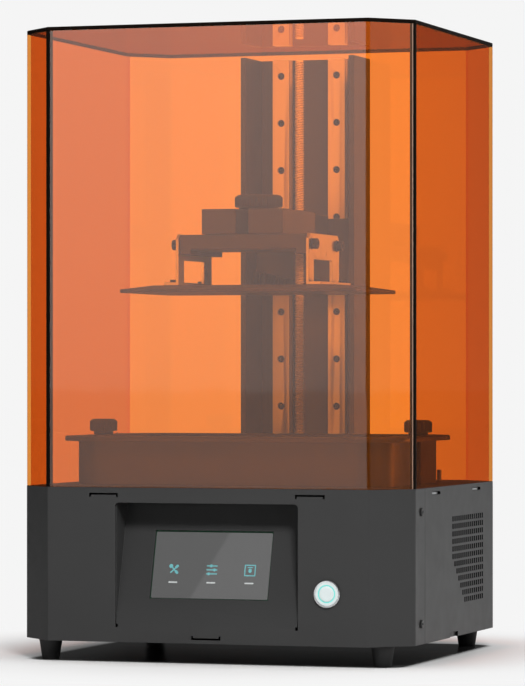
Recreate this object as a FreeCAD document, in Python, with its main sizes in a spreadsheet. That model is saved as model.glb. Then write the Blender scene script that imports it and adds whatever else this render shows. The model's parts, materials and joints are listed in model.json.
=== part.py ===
"""Desktop resin printer: a steel base, a tinted lift-off hood, a vat, and a build plate on a Z tower.

Frame: X to the printer's right, Y to its back, Z up. The origin is on the floor, under the
centre of the eight-sided footprint. Lengths are in millimetres.
"""
import FreeCAD, Part
import math
import os
import Sketcher
from FreeCAD import Placement, Rotation, Vector

# ---------------------------------------------------------------- driving dimensions
DIMENSIONS = {
    # outer form: an octagon made by cutting the four corners of a rectangle
    "width": 325, "depth": 292, "corner_leg": 29.5,
    "foot_height": 16, "base_height": 122, "hood_height": 365,
    "steel": 2, "acrylic": 3, "deck_thickness": 4, "steel_bend": 3.5, "acrylic_bend": 6,
    "foot_x": 138.3, "foot_front_y": -124.6, "foot_rear_y": 121.9,
    "foot_top_radius": 9.35, "foot_floor_radius": 7,
    # front panel
    "wrap_end_y": -90.3, "recess_half": 75.6, "recess_low": 14.5, "recess_high": 110,
    "screen_tilt": 16, "screen_width": 98, "screen_length": 55.5, "screen_mid_height": 61.2,
    "button_x": 99.6, "button_height": 41, "button_radius": 6, "bezel_radius": 11.5,
    "front_slit_x": 85.5, "side_screw_y": -101.7,
    # side vents
    "vent_rear_y": 82, "vent_top_height": 95, "vent_pitch_y": 6, "vent_pitch_z": 6.05,
    "vent_width": 3.6, "vent_height": 4,
    # build area, shared by screen, vat and plate
    "build_y": -14, "plate_length": 200, "plate_depth": 130, "plate_floor": 293,
    "plate_edge": 2.8, "plate_thickness": 6.2, "plate_bevel": 22,
    # vat
    "vat_length": 265, "vat_depth": 168, "vat_lip_length": 290, "vat_lip_depth": 192,
    "vat_top": 177.5, "vat_lip_thickness": 4, "vat_well_length": 236, "vat_well_depth": 148,
    "vat_window_length": 212, "vat_window_depth": 140, "film_height": 140.6,
    "vat_knob_x": 135, "vat_knob_radius": 11.3, "stud_radius": 2.5,
    # tower and carriage
    "tower_half": 50, "tower_front_y": 88, "tower_wall": 5, "tower_back_y": 135, "tower_top": 494,
    "rail_x": 24.6, "rail_width": 15, "rail_depth": 10, "rail_hole_pitch": 40, "rail_top_hole": 480,
    "screw_y": 95, "screw_radius": 4, "shaft_radius": 2.5,
    "carriage_low": 294, "carriage_high": 358,
    "arm_half": 34.4, "arm_front_y": -57, "arm_rear_y": 29.6, "arm_low": 340.2, "arm_high": 360.5,
    "block_half": 53.7, "cheek_inner": 54, "cheek_sheet": 2.5, "cheek_front_y": -57, "cheek_rear_y": 25,
    "cheek_high": 340.5, "cheek_window_high": 319.5, "plate_screw_x": 61,
    "platform_knob_radius": 19.5,
    # light engine below the deck
    "light_length": 200, "light_depth": 128, "light_floor": 82,
    # running clearances
    "running_fit": 0.05, "slide_gap": 0.2,
}
RAIL_HOLES = 9
VENT_COLUMNS = 16
VENT_FULL_ROWS = 6
VENT_ROWS = 12
MITRE = 2 - math.sqrt(2)          # how fast a 45 degree corner leg shortens as the octagon shrinks
BOLT_CLEAR = 0.05

doc = FreeCAD.newDocument("resin_printer")
sheet = doc.addObject("Spreadsheet::Sheet", "Sizes")
for row, (alias, number) in enumerate(DIMENSIONS.items(), 1):
    sheet.set(f"A{row}", alias)
    sheet.set(f"B{row}", str(number))
    sheet.setAlias(f"B{row}", alias)
doc.recompute()


class Dim:
    """A length that knows both its value and the spreadsheet formula it comes from."""

    def __init__(self, value, formula):
        self.value, self.formula = value, formula

    def combine(self, other, sign, swap=False):
        other = other if isinstance(other, Dim) else Dim(float(other), f"({float(other)!r})")
        left, right = (other, self) if swap else (self, other)
        if sign == "/":
            value = left.value / right.value
        elif sign == "*":
            value = left.value * right.value
        else:
            value = left.value + right.value * (1 if sign == "+" else -1)
        return Dim(value, f"({left.formula} {sign} {right.formula})")

    def __add__(self, other):
        return self.combine(other, "+")

    def __radd__(self, other):
        return self.combine(other, "+", True)

    def __sub__(self, other):
        return self.combine(other, "-")

    def __rsub__(self, other):
        return self.combine(other, "-", True)

    def __mul__(self, other):
        return self.combine(other, "*")

    def __rmul__(self, other):
        return self.combine(other, "*", True)

    def __truediv__(self, other):
        return self.combine(other, "/")

    def __neg__(self):
        return self.combine(-1, "*")


def cell(alias):
    return Dim(float(DIMENSIONS[alias]), f"Sizes.{alias}")


def sine(angle):
    return Dim(math.sin(math.radians(angle.value)), f"sin({angle.formula})")


def cosine(angle):
    return Dim(math.cos(math.radians(angle.value)), f"cos({angle.formula})")


def tangent(angle):
    return Dim(math.tan(math.radians(angle.value)), f"tan({angle.formula})")


def number(size):
    return size.value if isinstance(size, Dim) else float(size)


def bind(thing, prop, size):
    """Tie a property to its spreadsheet formula, or set it when the size is a plain number."""
    if isinstance(size, Dim):
        thing.setExpression(prop, size.formula)
    elif "." in prop:
        thing.setExpression(prop, repr(float(size)))
    else:
        setattr(thing, prop, float(size))


def place(thing, x, y, z, turn=None):
    if turn:
        thing.Placement = Placement(Vector(), turn)
    for letter, size in zip("xyz", (x, y, z)):
        bind(thing, f"Placement.Base.{letter}", size)
    return thing


# ---------------------------------------------------------------- sketches and features
PLANE = {"z": ("XY_Plane", 1), "x": ("YZ_Plane", 1), "y": ("XZ_Plane", -1)}
AXIS_TURN = {"z": Rotation(), "x": Rotation(Vector(0, 1, 0), 90), "y": Rotation(Vector(1, 0, 0), -90)}
parts = []


class Circle:
    def __init__(self, u, v, radius):
        self.u, self.v, self.radius = u, v, radius


class RoundedRectangle:
    def __init__(self, u, v, length, breadth, radius):
        self.u, self.v, self.length, self.breadth, self.radius = u, v, length, breadth, radius


def rectangle(u_low, u_high, v_low, v_high):
    return [(u_low, v_low), (u_high, v_low), (u_high, v_high), (u_low, v_high)]


def fix_point(sketch, geometry, point, u, v):
    """Hold a sketch point at (u, v) from the sketch origin."""
    for kind, size, axis in (("DistanceX", u, -2), ("DistanceY", v, -1)):
        if abs(number(size)) < 1e-9:
            sketch.addConstraint(Sketcher.Constraint("PointOnObject", geometry, point, axis))
            continue
        index = sketch.addConstraint(Sketcher.Constraint(kind, -1, 1, geometry, point, number(size)))
        if isinstance(size, Dim):
            sketch.setExpression(f"Constraints[{index}]", size.formula)


def fix_radius(sketch, geometry, radius):
    index = sketch.addConstraint(Sketcher.Constraint("Radius", geometry, number(radius)))
    if isinstance(radius, Dim):
        sketch.setExpression(f"Constraints[{index}]", radius.formula)


def draw_circle(sketch, circle):
    centre = Vector(number(circle.u), number(circle.v), 0)
    index = sketch.addGeometry(Part.Circle(centre, Vector(0, 0, 1), number(circle.radius)), False)
    fix_point(sketch, index, 3, circle.u, circle.v)
    fix_radius(sketch, index, circle.radius)


def draw_polygon(sketch, points):
    corners = [Vector(number(u), number(v), 0) for u, v in points]
    first, count = sketch.GeometryCount, len(corners)
    sides = [Part.LineSegment(corners[i], corners[(i + 1) % count]) for i in range(count)]
    sketch.addGeometry(sides, False)
    for i, (u, v) in enumerate(points):
        sketch.addConstraint(Sketcher.Constraint("Coincident", first + i, 2, first + (i + 1) % count, 1))
        fix_point(sketch, first + i, 1, u, v)


def draw_rounded(sketch, shape):
    """Four corner arcs with four straight sides tangent to them."""
    half_u, half_v = shape.length / 2 - shape.radius, shape.breadth / 2 - shape.radius
    radius = number(shape.radius)
    first = sketch.GeometryCount
    centres = [(shape.u + half_u, shape.v + half_v), (shape.u - half_u, shape.v + half_v),
               (shape.u - half_u, shape.v - half_v), (shape.u + half_u, shape.v - half_v)]
    spots = [Vector(number(u), number(v), 0) for u, v in centres]
    for quarter, spot in enumerate(spots):
        circle = Part.Circle(spot, Vector(0, 0, 1), radius)
        sketch.addGeometry(Part.ArcOfCircle(circle, quarter * math.pi / 2, (quarter + 1) * math.pi / 2), False)
    for quarter in range(4):
        angle = (quarter + 1) * math.pi / 2
        reach = Vector(math.cos(angle), math.sin(angle), 0) * radius
        start, end = spots[quarter] + reach, spots[(quarter + 1) % 4] + reach
        sketch.addGeometry(Part.LineSegment(start, end), False)
        sketch.addConstraint(Sketcher.Constraint("Tangent", first + quarter, 2, first + 4 + quarter, 1))
        sketch.addConstraint(
            Sketcher.Constraint("Tangent", first + 4 + quarter, 2, first + (quarter + 1) % 4, 1))
    for quarter, (u, v) in enumerate(centres):
        fix_point(sketch, first + quarter, 3, u, v)
        fix_radius(sketch, first + quarter, shape.radius)


def sketch_on(body, axis, loops, level, origin=(0, 0)):
    """Sketch across an axis at a level. Its u, v are x, y across z; y, z across x; x, z across y."""
    role, sign = PLANE[axis]
    sketch = body.newObject("Sketcher::SketchObject", "Profile")
    sketch.AttachmentSupport = [(next(f for f in body.Origin.OriginFeatures if f.Role == role), "")]
    sketch.MapMode = "FlatFace"
    for letter, size in zip("xyz", (origin[0], origin[1], level * sign)):
        bind(sketch, f"AttachmentOffset.Base.{letter}", size)
    for loop in loops:
        draw = draw_circle if isinstance(loop, Circle) else draw_polygon
        draw = draw_rounded if isinstance(loop, RoundedRectangle) else draw
        draw(sketch, loop)
    return sketch


def new_body(name):
    return keep(name, doc.addObject("PartDesign::Body", name))


def keep(name, shape):
    shape.Label = name
    parts.append(shape)
    return shape


def pad(body, axis, loops, low, high, origin=(0, 0)):
    """Material between two levels along an axis."""
    feature = body.newObject("PartDesign::Pad", "Pad")
    feature.Profile = sketch_on(body, axis, loops, low, origin)
    feature.Reversed = axis == "y"
    bind(feature, "Length", high - low)
    body.Tip = feature
    return feature


def pocket(body, axis, loops, low, high, origin=(0, 0)):
    """Cut between two levels along an axis; the cut has to take material away."""
    doc.recompute()
    before = body.Shape.Volume
    feature = body.newObject("PartDesign::Pocket", "Pocket")
    feature.Profile = sketch_on(body, axis, loops, low, origin)
    feature.Reversed = axis != "y"
    bind(feature, "Length", high - low)
    body.Tip = feature
    doc.recompute()
    if feature.Shape.Volume > before - 1e-3:
        raise RuntimeError(f"{body.Label}: a pocket removed nothing")
    return feature


def revolve(body, points, height=0):
    """Turn a profile of (radius, height) points about the body's own Z axis."""
    feature = body.newObject("PartDesign::Revolution", "Revolution")
    sketch = sketch_on(body, "y", [[(radius, level + height) for radius, level in points]], 0)
    feature.Profile = sketch
    feature.ReferenceAxis = (sketch, ["V_Axis"])
    feature.Angle = 360
    body.Tip = feature
    return feature


def row(body, feature, direction, pitch, count, backwards=False):
    """Repeat a feature in a straight row."""
    pattern = body.newObject("PartDesign::LinearPattern", "Row")
    pattern.Originals = [feature]
    aim_row(pattern, feature, direction, pitch, count, backwards)
    body.Tip = pattern
    return pattern


def aim_row(pattern, feature, direction, pitch, count, backwards):
    pattern.Direction = (feature.Profile[0], [direction])
    pattern.Reversed = backwards
    pattern.Occurrences = count
    bind(pattern, "Length", pitch * (count - 1))


def grid(body, feature, pitch_u, count_u, pitch_v, count_v, backwards=(False, False)):
    """Repeat a feature in rows and columns."""
    pattern = body.newObject("PartDesign::MultiTransform", "Grid")
    pattern.Originals = [feature]
    steps = []
    for direction, pitch, count, back in (("H_Axis", pitch_u, count_u, backwards[0]),
                                          ("V_Axis", pitch_v, count_v, backwards[1])):
        step = body.newObject("PartDesign::LinearPattern", "Step")
        aim_row(step, feature, direction, pitch, count, back)
        steps.append(step)
    pattern.Transformations = steps
    body.Tip = pattern
    return pattern


def ring(body, feature, count):
    """Repeat a feature around its sketch's origin."""
    pattern = body.newObject("PartDesign::PolarPattern", "Ring")
    pattern.Originals = [feature]
    pattern.Axis = (feature.Profile[0], ["N_Axis"])
    pattern.Angle = 360
    pattern.Occurrences = count
    body.Tip = pattern
    return pattern


def round_edges(body, radius, chosen):
    """Fillet the edges that the test picks out."""
    doc.recompute()
    base = body.Tip
    names = [f"Edge{i}" for i, edge in enumerate(base.Shape.Edges, 1) if chosen(edge)]
    feature = body.newObject("PartDesign::Fillet", "Fillet")
    feature.Base = (base, names)
    bind(feature, "Radius", radius)
    body.Tip = feature
    return feature


def upright_at(corners):
    """Test for the vertical edges that stand on any of the given plan corners."""
    spots = [(number(x), number(y)) for x, y in corners]

    def chosen(edge):
        ends = [(vertex.X, vertex.Y) for vertex in edge.Vertexes]
        return any(all(math.dist(end, spot) < 1e-4 for end in ends) for spot in spots)

    return chosen


def at_height(level):
    """Test for edges that lie wholly at one height."""
    return lambda edge: all(abs(vertex.Z - number(level)) < 1e-4 for vertex in edge.Vertexes)


# ---------------------------------------------------------------- primitives
def block(x, y, z, name="Block"):
    """Box given by its (low, high) span along each axis."""
    solid = doc.addObject("Part::Box", name)
    for side, (low, high) in zip(("Length", "Width", "Height"), (x, y, z)):
        bind(solid, side, high - low)
    return place(solid, x[0], y[0], z[0])


def rod(radius, axis, span, across, name="Rod"):
    """Cylinder along an axis between two levels; across gives its other two coordinates."""
    solid = doc.addObject("Part::Cylinder", name)
    bind(solid, "Radius", radius)
    bind(solid, "Height", span[1] - span[0])
    where = list(across)
    where.insert("xyz".index(axis), span[0])
    return place(solid, *where, turn=AXIS_TURN[axis])


def join(shapes, name="Join"):
    solid = doc.addObject("Part::MultiFuse", name)
    solid.Shapes = shapes
    return solid


def cut(base, tools, name="Cut"):
    solid = doc.addObject("Part::Cut", name)
    solid.Base = base
    solid.Tool = tools[0] if len(tools) == 1 else join(tools)
    return solid


def group(shapes, name="Group"):
    """Several separate solids that share one node."""
    solid = doc.addObject("Part::Compound", name)
    solid.Links = shapes
    return solid


def both_sides(build):
    """The same piece on the left and on the right."""
    return [build(side) for side in (-1, 1)]


def span(a, b, side=1):
    """A (low, high) pair, mirrored to the left when side is -1."""
    return (a, b) if side == 1 else (-b, -a)


# ---------------------------------------------------------------- shared levels
half_width, half_depth = cell("width") / 2, cell("depth") / 2
steel, acrylic = cell("steel"), cell("acrylic")
base_floor = cell("foot_height")
deck_top = base_floor + cell("base_height")
deck_under = deck_top - cell("deck_thickness")
hood_top = deck_top + cell("hood_height")
build_y = cell("build_y")
gap, fit = cell("slide_gap"), cell("running_fit")
face_y = -half_depth
recess_floor = base_floor + cell("recess_low")
recess_ceiling = base_floor + cell("recess_high")
screw_y = cell("screw_y")


def octagon(inset):
    """Corners of the footprint, set in by a wall thickness: front edge first, then anticlockwise."""
    x, y = half_width - inset, half_depth - inset
    leg = cell("corner_leg") - inset * MITRE
    return [(-x + leg, -y), (x - leg, -y), (x, -y + leg), (x, y - leg),
            (x - leg, y), (-x + leg, y), (-x, y - leg), (-x, -y + leg)]


def folded_wall(name, corners, thickness, low, high):
    """A sheet that follows neighbouring corners of the octagon, mitred at both ends."""
    outer, inner = octagon(0), octagon(thickness)
    outline = [outer[i] for i in corners] + [inner[i] for i in reversed(corners)]
    body = new_body(name)
    pad(body, "z", [outline], low, high)
    return body


def bend(body, radius, corners):
    """Round the outside of the folds at some corners of the octagon."""
    return round_edges(body, radius, upright_at([octagon(0)[i] for i in corners]))


# ---------------------------------------------------------------- base enclosure
def tongue_y(level):
    """Front surface of the sloping screen panel at a height."""
    return face_y + (level - recess_floor) * tangent(cell("screen_tilt"))


def bracket_slit(middle, level, turned_up):
    """Thin bracket-shaped slit that frees a hooking tab: a long line with two short legs."""
    half, width, leg = 12, 1.3, 3
    reach = leg if turned_up else -leg
    inside = width if turned_up else -width
    points = [(-half, 0), (half, 0), (half, reach), (half - width, reach), (half - width, inside),
              (-half + width, inside), (-half + width, reach), (-half, reach)]
    return [(middle + u, level + v) for u, v in points]


def make_front_panel():
    """Folded steel front: wraps both front corners, with a tongue folded in to carry the screen."""
    outer, inner = octagon(0), octagon(steel)
    wrap = cell("wrap_end_y")
    outline = [(-half_width, wrap), outer[7], outer[0], outer[1], outer[2], (half_width, wrap),
               (half_width - steel, wrap), inner[2], inner[1], inner[0], inner[7],
               (-half_width + steel, wrap)]
    body = new_body("front_panel")
    pad(body, "z", [outline], base_floor, deck_top)
    bend(body, cell("steel_bend"), [7, 0, 1, 2])
    half, notch, tongue_top = cell("recess_half"), 2, recess_ceiling + 5
    relief = recess_floor - 2.5
    window = [(-half, recess_ceiling), (-half, relief), (-half + notch, relief),
              (-half + notch, recess_floor), (half - notch, recess_floor), (half - notch, relief),
              (half, relief), (half, recess_ceiling)]
    pocket(body, "y", [window], face_y - 1, face_y + steel + 1)
    corner_radius = 3
    round_edges(body, corner_radius, lambda edge: at_height(recess_ceiling)(edge)
                and edge.Length < number(steel) + 0.1)
    tongue_half = half - 0.5
    thick = steel / cosine(cell("screen_tilt"))
    slope = [(face_y, recess_floor), (tongue_y(tongue_top), tongue_top),
             (tongue_y(tongue_top) + thick, tongue_top), (face_y + thick, recess_floor)]
    pad(body, "x", [slope], -tongue_half, tongue_half)
    cheek = [(face_y + steel, recess_floor), (tongue_y(tongue_top) + thick, tongue_top),
             (face_y + steel, tongue_top)]
    for side in (-1, 1):
        pad(body, "x", [cheek], *span(tongue_half, tongue_half + 1.5, side))
    half_screen = cell("screen_width") / 2
    rise = cell("screen_length") / 2 * cosine(cell("screen_tilt"))
    middle = base_floor + cell("screen_mid_height")
    pocket(body, "y", [rectangle(-half_screen, half_screen, middle - rise, middle + rise)],
           face_y - 1, tongue_y(tongue_top) + 10)
    slits = [bracket_slit(side * cell("front_slit_x"), deck_top - 4.5, False) for side in (-1, 1)]
    slits.append(bracket_slit(0, base_floor + 3, True))
    hole = Circle(cell("button_x"), base_floor + cell("button_height"), 9.6)
    pocket(body, "y", slits + [hole], face_y - 1, face_y + steel + 1)
    for side in (-1, 1):
        holes = [Circle(cell("side_screw_y"), level, 1.7) for level in side_screw_levels()]
        pocket(body, "x", holes, *span(half_width - steel - 1, half_width + 1, side))


def side_screw_levels():
    return base_floor + 16.3, base_floor + 103.8


def make_side_panel(name, side):
    """Side and rear-corner sheet, with vents, bracket slots, and a strip under the front panel's wrap."""
    outer, inner = octagon(0), octagon(steel)
    start = cell("wrap_end_y") + 0.5
    points = [(half_width, start), outer[3], outer[4], inner[4], inner[3], (half_width - steel, start)]
    body = new_body(name)
    pad(body, "z", [[(u * side, v) for u, v in points]], base_floor, deck_top)
    bend(body, cell("steel_bend"), [3 if side == 1 else 6])
    strip = [(cell("side_screw_y") - 10, base_floor + steel), (start + 6, base_floor + steel),
             (start + 6, deck_under), (cell("side_screw_y") - 10, deck_under)]
    pad(body, "x", [strip], *span(half_width - 2 * steel, half_width - steel, side))
    wall = span(half_width - steel - 1, half_width + 1, side)
    holes = [Circle(cell("side_screw_y"), level, 1.5 + BOLT_CLEAR) for level in side_screw_levels()]
    pocket(body, "x", holes, *span(half_width - 2 * steel - 1, half_width - steel + 1, side))
    slot_level = deck_top - 4.6
    slots = [rectangle(middle - 12, middle + 12, slot_level - 1.1, slot_level + 1.1)
             for middle in (-57.7, 63.5)]
    notch = rectangle(-17, 6.6, base_floor - 1, base_floor + 4)
    pocket(body, "x", slots + [notch], *wall)
    rear, top = cell("vent_rear_y"), base_floor + cell("vent_top_height")
    half_u, half_v = cell("vent_width") / 2, cell("vent_height") / 2
    vent = rectangle(rear - half_u, rear + half_u, top - half_v, top + half_v)
    first = pocket(body, "x", [vent], *wall)
    grid(body, first, cell("vent_pitch_y"), VENT_COLUMNS, cell("vent_pitch_z"), VENT_FULL_ROWS,
         (True, True))
    for line in range(VENT_FULL_ROWS, VENT_ROWS):
        drop = cell("vent_pitch_z") * line
        short = pocket(body, "x", [[(u, v - drop) for u, v in vent]], *wall)
        row(body, short, "H_Axis", cell("vent_pitch_y"), VENT_COLUMNS - 1 - (line - VENT_FULL_ROWS), True)


FAN_X, FAN_Z, FAN_HALF, FAN_DEEP = 60, 77, 30, 15
INLET_X, INLET_Z = -95, 70
USB_X, USB_Z = -48, 60


def make_rear_panel():
    """Flat steel back with a fan grille and openings for the power inlet and the USB socket."""
    body = folded_wall("rear_panel", [4, 5], steel, base_floor, deck_top)
    through = (half_depth - steel - 1, half_depth + 1)
    inlet = rectangle(INLET_X - 13.8, INLET_X + 13.8, INLET_Z - 23.8, INLET_Z + 23.8)
    usb = rectangle(USB_X - 7, USB_X + 7, USB_Z - 3.4, USB_Z + 3.4)
    corners = [Circle(FAN_X + u, FAN_Z + v, 1.9) for u in (-25, 25) for v in (-25, 25)]
    pocket(body, "y", [inlet, usb] + corners, *through)
    for radius, count in ((8, 6), (15, 12), (22, 18)):
        hole = pocket(body, "y", [Circle(radius, 0, 2.6)], *through, origin=(FAN_X, FAN_Z))
        ring(body, hole, count)


def make_bottom_tray():
    """Floor of the base: an octagonal sheet with upturned side flanges and an intake grille."""
    body = new_body("bottom_tray")
    feet = [Circle(side * cell("foot_x"), cell(y), 2.1)
            for side in (-1, 1) for y in ("foot_front_y", "foot_rear_y")]
    pad(body, "z", [octagon(steel)] + feet, base_floor, base_floor + steel)
    for side in (-1, 1):
        pad(body, "x", [rectangle(-80, 108, base_floor + steel, base_floor + 20)],
            *span(half_width - 2 * steel, half_width - steel, side))
    slot = RoundedRectangle(-28, build_y, 4, 56, 1.9)
    first = pocket(body, "z", [slot], base_floor - 1, base_floor + steel + 1)
    row(body, first, "H_Axis", 8, 8)


def make_deck_plate():
    """Deck under the hood, with the exposure window and holes for studs, screw and hood pegs."""
    body = new_body("deck_plate")
    window = RoundedRectangle(0, build_y, 194, 122, 2)
    holes = [Circle(0, screw_y, 11.2)]
    for side in (-1, 1):
        holes.append(Circle(side * cell("vat_knob_x"), build_y, cell("stud_radius") + fit))
        holes.append(Circle(side * 113, 127, 2))
    pad(body, "z", [octagon(steel), window] + holes, deck_under, deck_top)


def make_deck_bracket(side):
    outside = half_width - steel
    upright = block(span(outside - steel, outside, side), (-75, 105), (deck_under - 22, deck_under))
    ledge = block(span(outside - 20, outside, side), (-75, 105), (deck_under - steel, deck_under))
    return join([upright, ledge])


def make_feet():
    """Tapered rubber feet, each with a plug that holds it in the tray."""
    top, floor_radius = cell("foot_top_radius"), cell("foot_floor_radius")
    feet = []
    for side in (-1, 1):
        for y in ("foot_front_y", "foot_rear_y"):
            cone = doc.addObject("Part::Cone", "Foot")
            bind(cone, "Radius1", floor_radius)
            bind(cone, "Radius2", top)
            bind(cone, "Height", base_floor)
            place(cone, side * cell("foot_x"), cell(y), 0)
            plug = rod(2.1, "z", (base_floor - 2, base_floor + steel), (side * cell("foot_x"), cell(y)))
            feet.append(join([cone, plug]))
    return keep("rubber_feet", group(feet))


def make_panel_screws():
    screws = []
    for side in (-1, 1):
        for level in side_screw_levels():
            where = (cell("side_screw_y"), level)
            head = rod(3.3, "x", span(half_width, half_width + 1.6, side), where)
            shank = rod(1.5, "x", span(half_width - 2 * steel - 3, half_width, side), where)
            screws.append(join([head, shank]))
    return keep("panel_screws", group(screws))


# ---------------------------------------------------------------- touch screen and power button
def tilted_slab(width, length, front, back):
    """Slab that lies in the sloping screen panel, between two depths below its front surface."""
    tilt = cell("screen_tilt")
    middle = base_floor + cell("screen_mid_height")
    slab = doc.addObject("Part::Box", "Slab")
    bind(slab, "Length", width)
    bind(slab, "Width", back - front)
    bind(slab, "Height", length)
    turn = Rotation(Vector(1, 0, 0), -DIMENSIONS["screen_tilt"])
    y = tongue_y(middle) - length / 2 * sine(tilt) + front * cosine(tilt)
    z = middle - length / 2 * cosine(tilt) - front * sine(tilt)
    return place(slab, -width / 2, y, z, turn)


def make_screen():
    keep("screen_glass", tilted_slab(cell("screen_width") - 0.8, cell("screen_length") - 1.4, 0,
                                     steel - 0.05))
    module = tilted_slab(cell("screen_width") + 8, cell("screen_length") + 12, steel, steel + 3.5)
    board = tilted_slab(cell("screen_width") + 12, cell("screen_length") + 15, steel + 3.5, steel + 5)
    keep("screen_module", join([module, board]))


def make_power_button():
    """Round metal bezel with a threaded barrel and nut, and the lit cap that slides in it."""
    radius, bezel = cell("button_radius"), cell("bezel_radius")
    where = (cell("button_x"), base_floor + cell("button_height"))
    proud, deep = 2, 22
    rim = rod(bezel, "y", (face_y - proud, face_y), where)
    barrel = rod(9.4, "y", (face_y, face_y + deep), where)
    nut = rod(12.5, "y", (face_y + steel, face_y + steel + 4), where)
    bore = rod(radius + gap, "y", (face_y - proud - 1, face_y + deep - 3), where)
    keep("button_bezel", cut(join([rim, barrel, nut]), [bore]))
    keep("button_cap", rod(radius, "y", (face_y - proud - 0.4, face_y + deep - 8), where))


# ---------------------------------------------------------------- light engine below the deck
def make_light_engine():
    length, depth, floor_level = cell("light_length"), cell("light_depth"), cell("light_floor")
    wall = 2
    shroud = new_body("light_shroud")
    outside = rectangle(-length / 2, length / 2, build_y - depth / 2, build_y + depth / 2)
    inside = rectangle(-length / 2 + wall, length / 2 - wall,
                       build_y - depth / 2 + wall, build_y + depth / 2 - wall)
    pad(shroud, "z", [outside, inside], floor_level, deck_under)
    x_span = (-length / 2 + wall, length / 2 - wall)
    y_span = (build_y - depth / 2 + wall, build_y + depth / 2 - wall)
    keep("lens_plate", block(x_span, y_span, (floor_level + 14, floor_level + 17)))
    keep("led_board", block(x_span, y_span, (floor_level, floor_level + 1.6)))
    leds = [rod(2.7, "z", (floor_level + 1.6, floor_level + 4), (-84 + 24 * column, build_y - 48 + 24 * line))
            for column in range(8) for line in range(5)]
    keep("uv_leds", group(leds))
    sink = new_body("heat_sink")
    pad(sink, "z", [outside], floor_level - 6, floor_level)
    fin_span = rectangle(-length / 2, -length / 2 + 2, build_y - depth / 2, build_y + depth / 2)
    fin = pad(sink, "z", [fin_span], floor_level - 36, floor_level - 6)
    row(sink, fin, "H_Axis", (length - 2) / 22, 23)


def make_lcd():
    keep("mask_lcd_panel", block((-103, 103), (build_y - 67, build_y + 67), (deck_top, deck_top + 1.2)))


# ---------------------------------------------------------------- fans
def make_fan(name, turn, x, y, z):
    """Axial fan, built about its own Z axis: a square frame with struts, and a bladed rotor."""
    frame = new_body(f"{name}_frame")
    holes = [Circle(u, v, 2.1) for u in (-25, 25) for v in (-25, 25)]
    outline = RoundedRectangle(0, 0, 2 * FAN_HALF, 2 * FAN_HALF, 4)
    pad(frame, "z", [outline, Circle(0, 0, 28.5)] + holes, 0, FAN_DEEP)
    pad(frame, "z", [[(-2, 11), (2, 11), (2, 29), (-2, 29)]], 0, 2)
    ring(frame, frame.Tip, 4)
    pad(frame, "z", [Circle(0, 0, 12)], 0, 2)
    place(frame, x, y, z, turn)
    rotor = new_body(f"{name}_rotor")
    pad(rotor, "z", [Circle(0, 0, 12)], 2.4, FAN_DEEP - 1)
    lean, reach = 3.5, 27.6
    blade = pad(rotor, "x", [[(-lean, 3.2), (-lean + 1.6, 3.2), (lean + 1.6, FAN_DEEP - 1.6),
                              (lean, FAN_DEEP - 1.6)]], 11, reach)
    hub_axis = sketch_on(rotor, "z", [Circle(0, 0, 5)], 0)
    pattern = ring(rotor, blade, 7)
    pattern.Axis = (hub_axis, ["N_Axis"])
    place(rotor, x, y, z, turn)


# ---------------------------------------------------------------- electronics
def make_power_supply():
    """Enclosed supply with a terminal notch and rows of cooling slots."""
    body = new_body("power_supply")
    x, y, wall = (112, 154), (-60, 99), 1.5
    low = base_floor + steel
    high = low + 98
    terminals_y = y[1] - 16
    pad(body, "z", [rectangle(*x, *y)], low, high)
    pocket(body, "z", [rectangle(x[0] - 1, x[1] + 1, terminals_y, y[1] + 1)], low + 30, high + 1)
    inside = rectangle(x[0] + wall, x[1] - wall, low + wall, high - wall)
    pocket(body, "y", [inside], y[0] + wall, terminals_y + 1)
    slot = pocket(body, "x", [rectangle(-48, -45, low + 12, low + 40)], x[0] - 1, x[0] + 2)
    grid(body, slot, 9, 12, 44, 2)


def make_control_board():
    """Main board on spacers against the left side, with its connectors and cooling blocks."""
    face = -148.4
    pieces = [block((face - 1.6, face), (-70, 50), (26, 112))]
    for y, z, deep, long, high in ((-60, 34, 9, 18, 10), (-34, 34, 9, 18, 10), (-8, 34, 9, 18, 10),
                                   (20, 34, 12, 22, 16), (-52, 70, 6, 16, 16), (-20, 72, 4, 22, 22),
                                   (18, 78, 14, 12, 20), (36, 78, 14, 12, 20), (-62, 98, 8, 40, 8)):
        pieces.append(block((face, face + deep), (y, y + long), (z, z + high)))
    for y in (-64, 44):
        for z in (42, 107):
            pieces.append(rod(3, "x", (-half_width + steel, face - 1.6), (y, z)))
    keep("control_board", join(pieces))


def make_power_inlet():
    """Appliance inlet with three contact pins below, and the opening for the rocker above."""
    x, z = INLET_X, INLET_Z
    proud, flange_back = half_depth + 2.4, half_depth
    flange = block((x - 16, x + 16), (flange_back, proud), (z - 26, z + 26))
    shell = block((x - 13.5, x + 13.5), (half_depth - 24, flange_back), (z - 23.5, z + 23.5))
    socket = block((x - 12, x + 12), (half_depth - 15, proud + 1), (z - 20, z - 3.5))
    rocker_room = block((x - 6.4, x + 6.4), (half_depth - 12, proud + 1), (z + 1.6, z + 22.4))
    pivot = (half_depth - 2.5, z + 12)
    pivot_bore = rod(1.35, "x", (x - 7.4, x + 7.4), pivot)
    body = cut(join([flange, shell]), [socket, rocker_room, pivot_bore])
    pins = [block((x + u - 1, x + u + 1), (half_depth - 16, half_depth - 1), (z - 12 + v, z - 8 + v))
            for u, v in ((-7, -1.5), (7, -1.5), (0, 2.5))]
    keep("power_inlet", join([body] + pins))
    rocker = new_body("switch_rocker")
    profile = [(-5, -7), (3.4, -8.9), (2, 0), (3.4, 8.9), (-5, 7)]
    pad(rocker, "x", [profile], -6, 6)
    for side in (-1, 1):
        pad(rocker, "x", [Circle(0, 0, 1.3)], *span(6, 7.1, side))
    place(rocker, x, *pivot, Rotation(Vector(1, 0, 0), 10))


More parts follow.
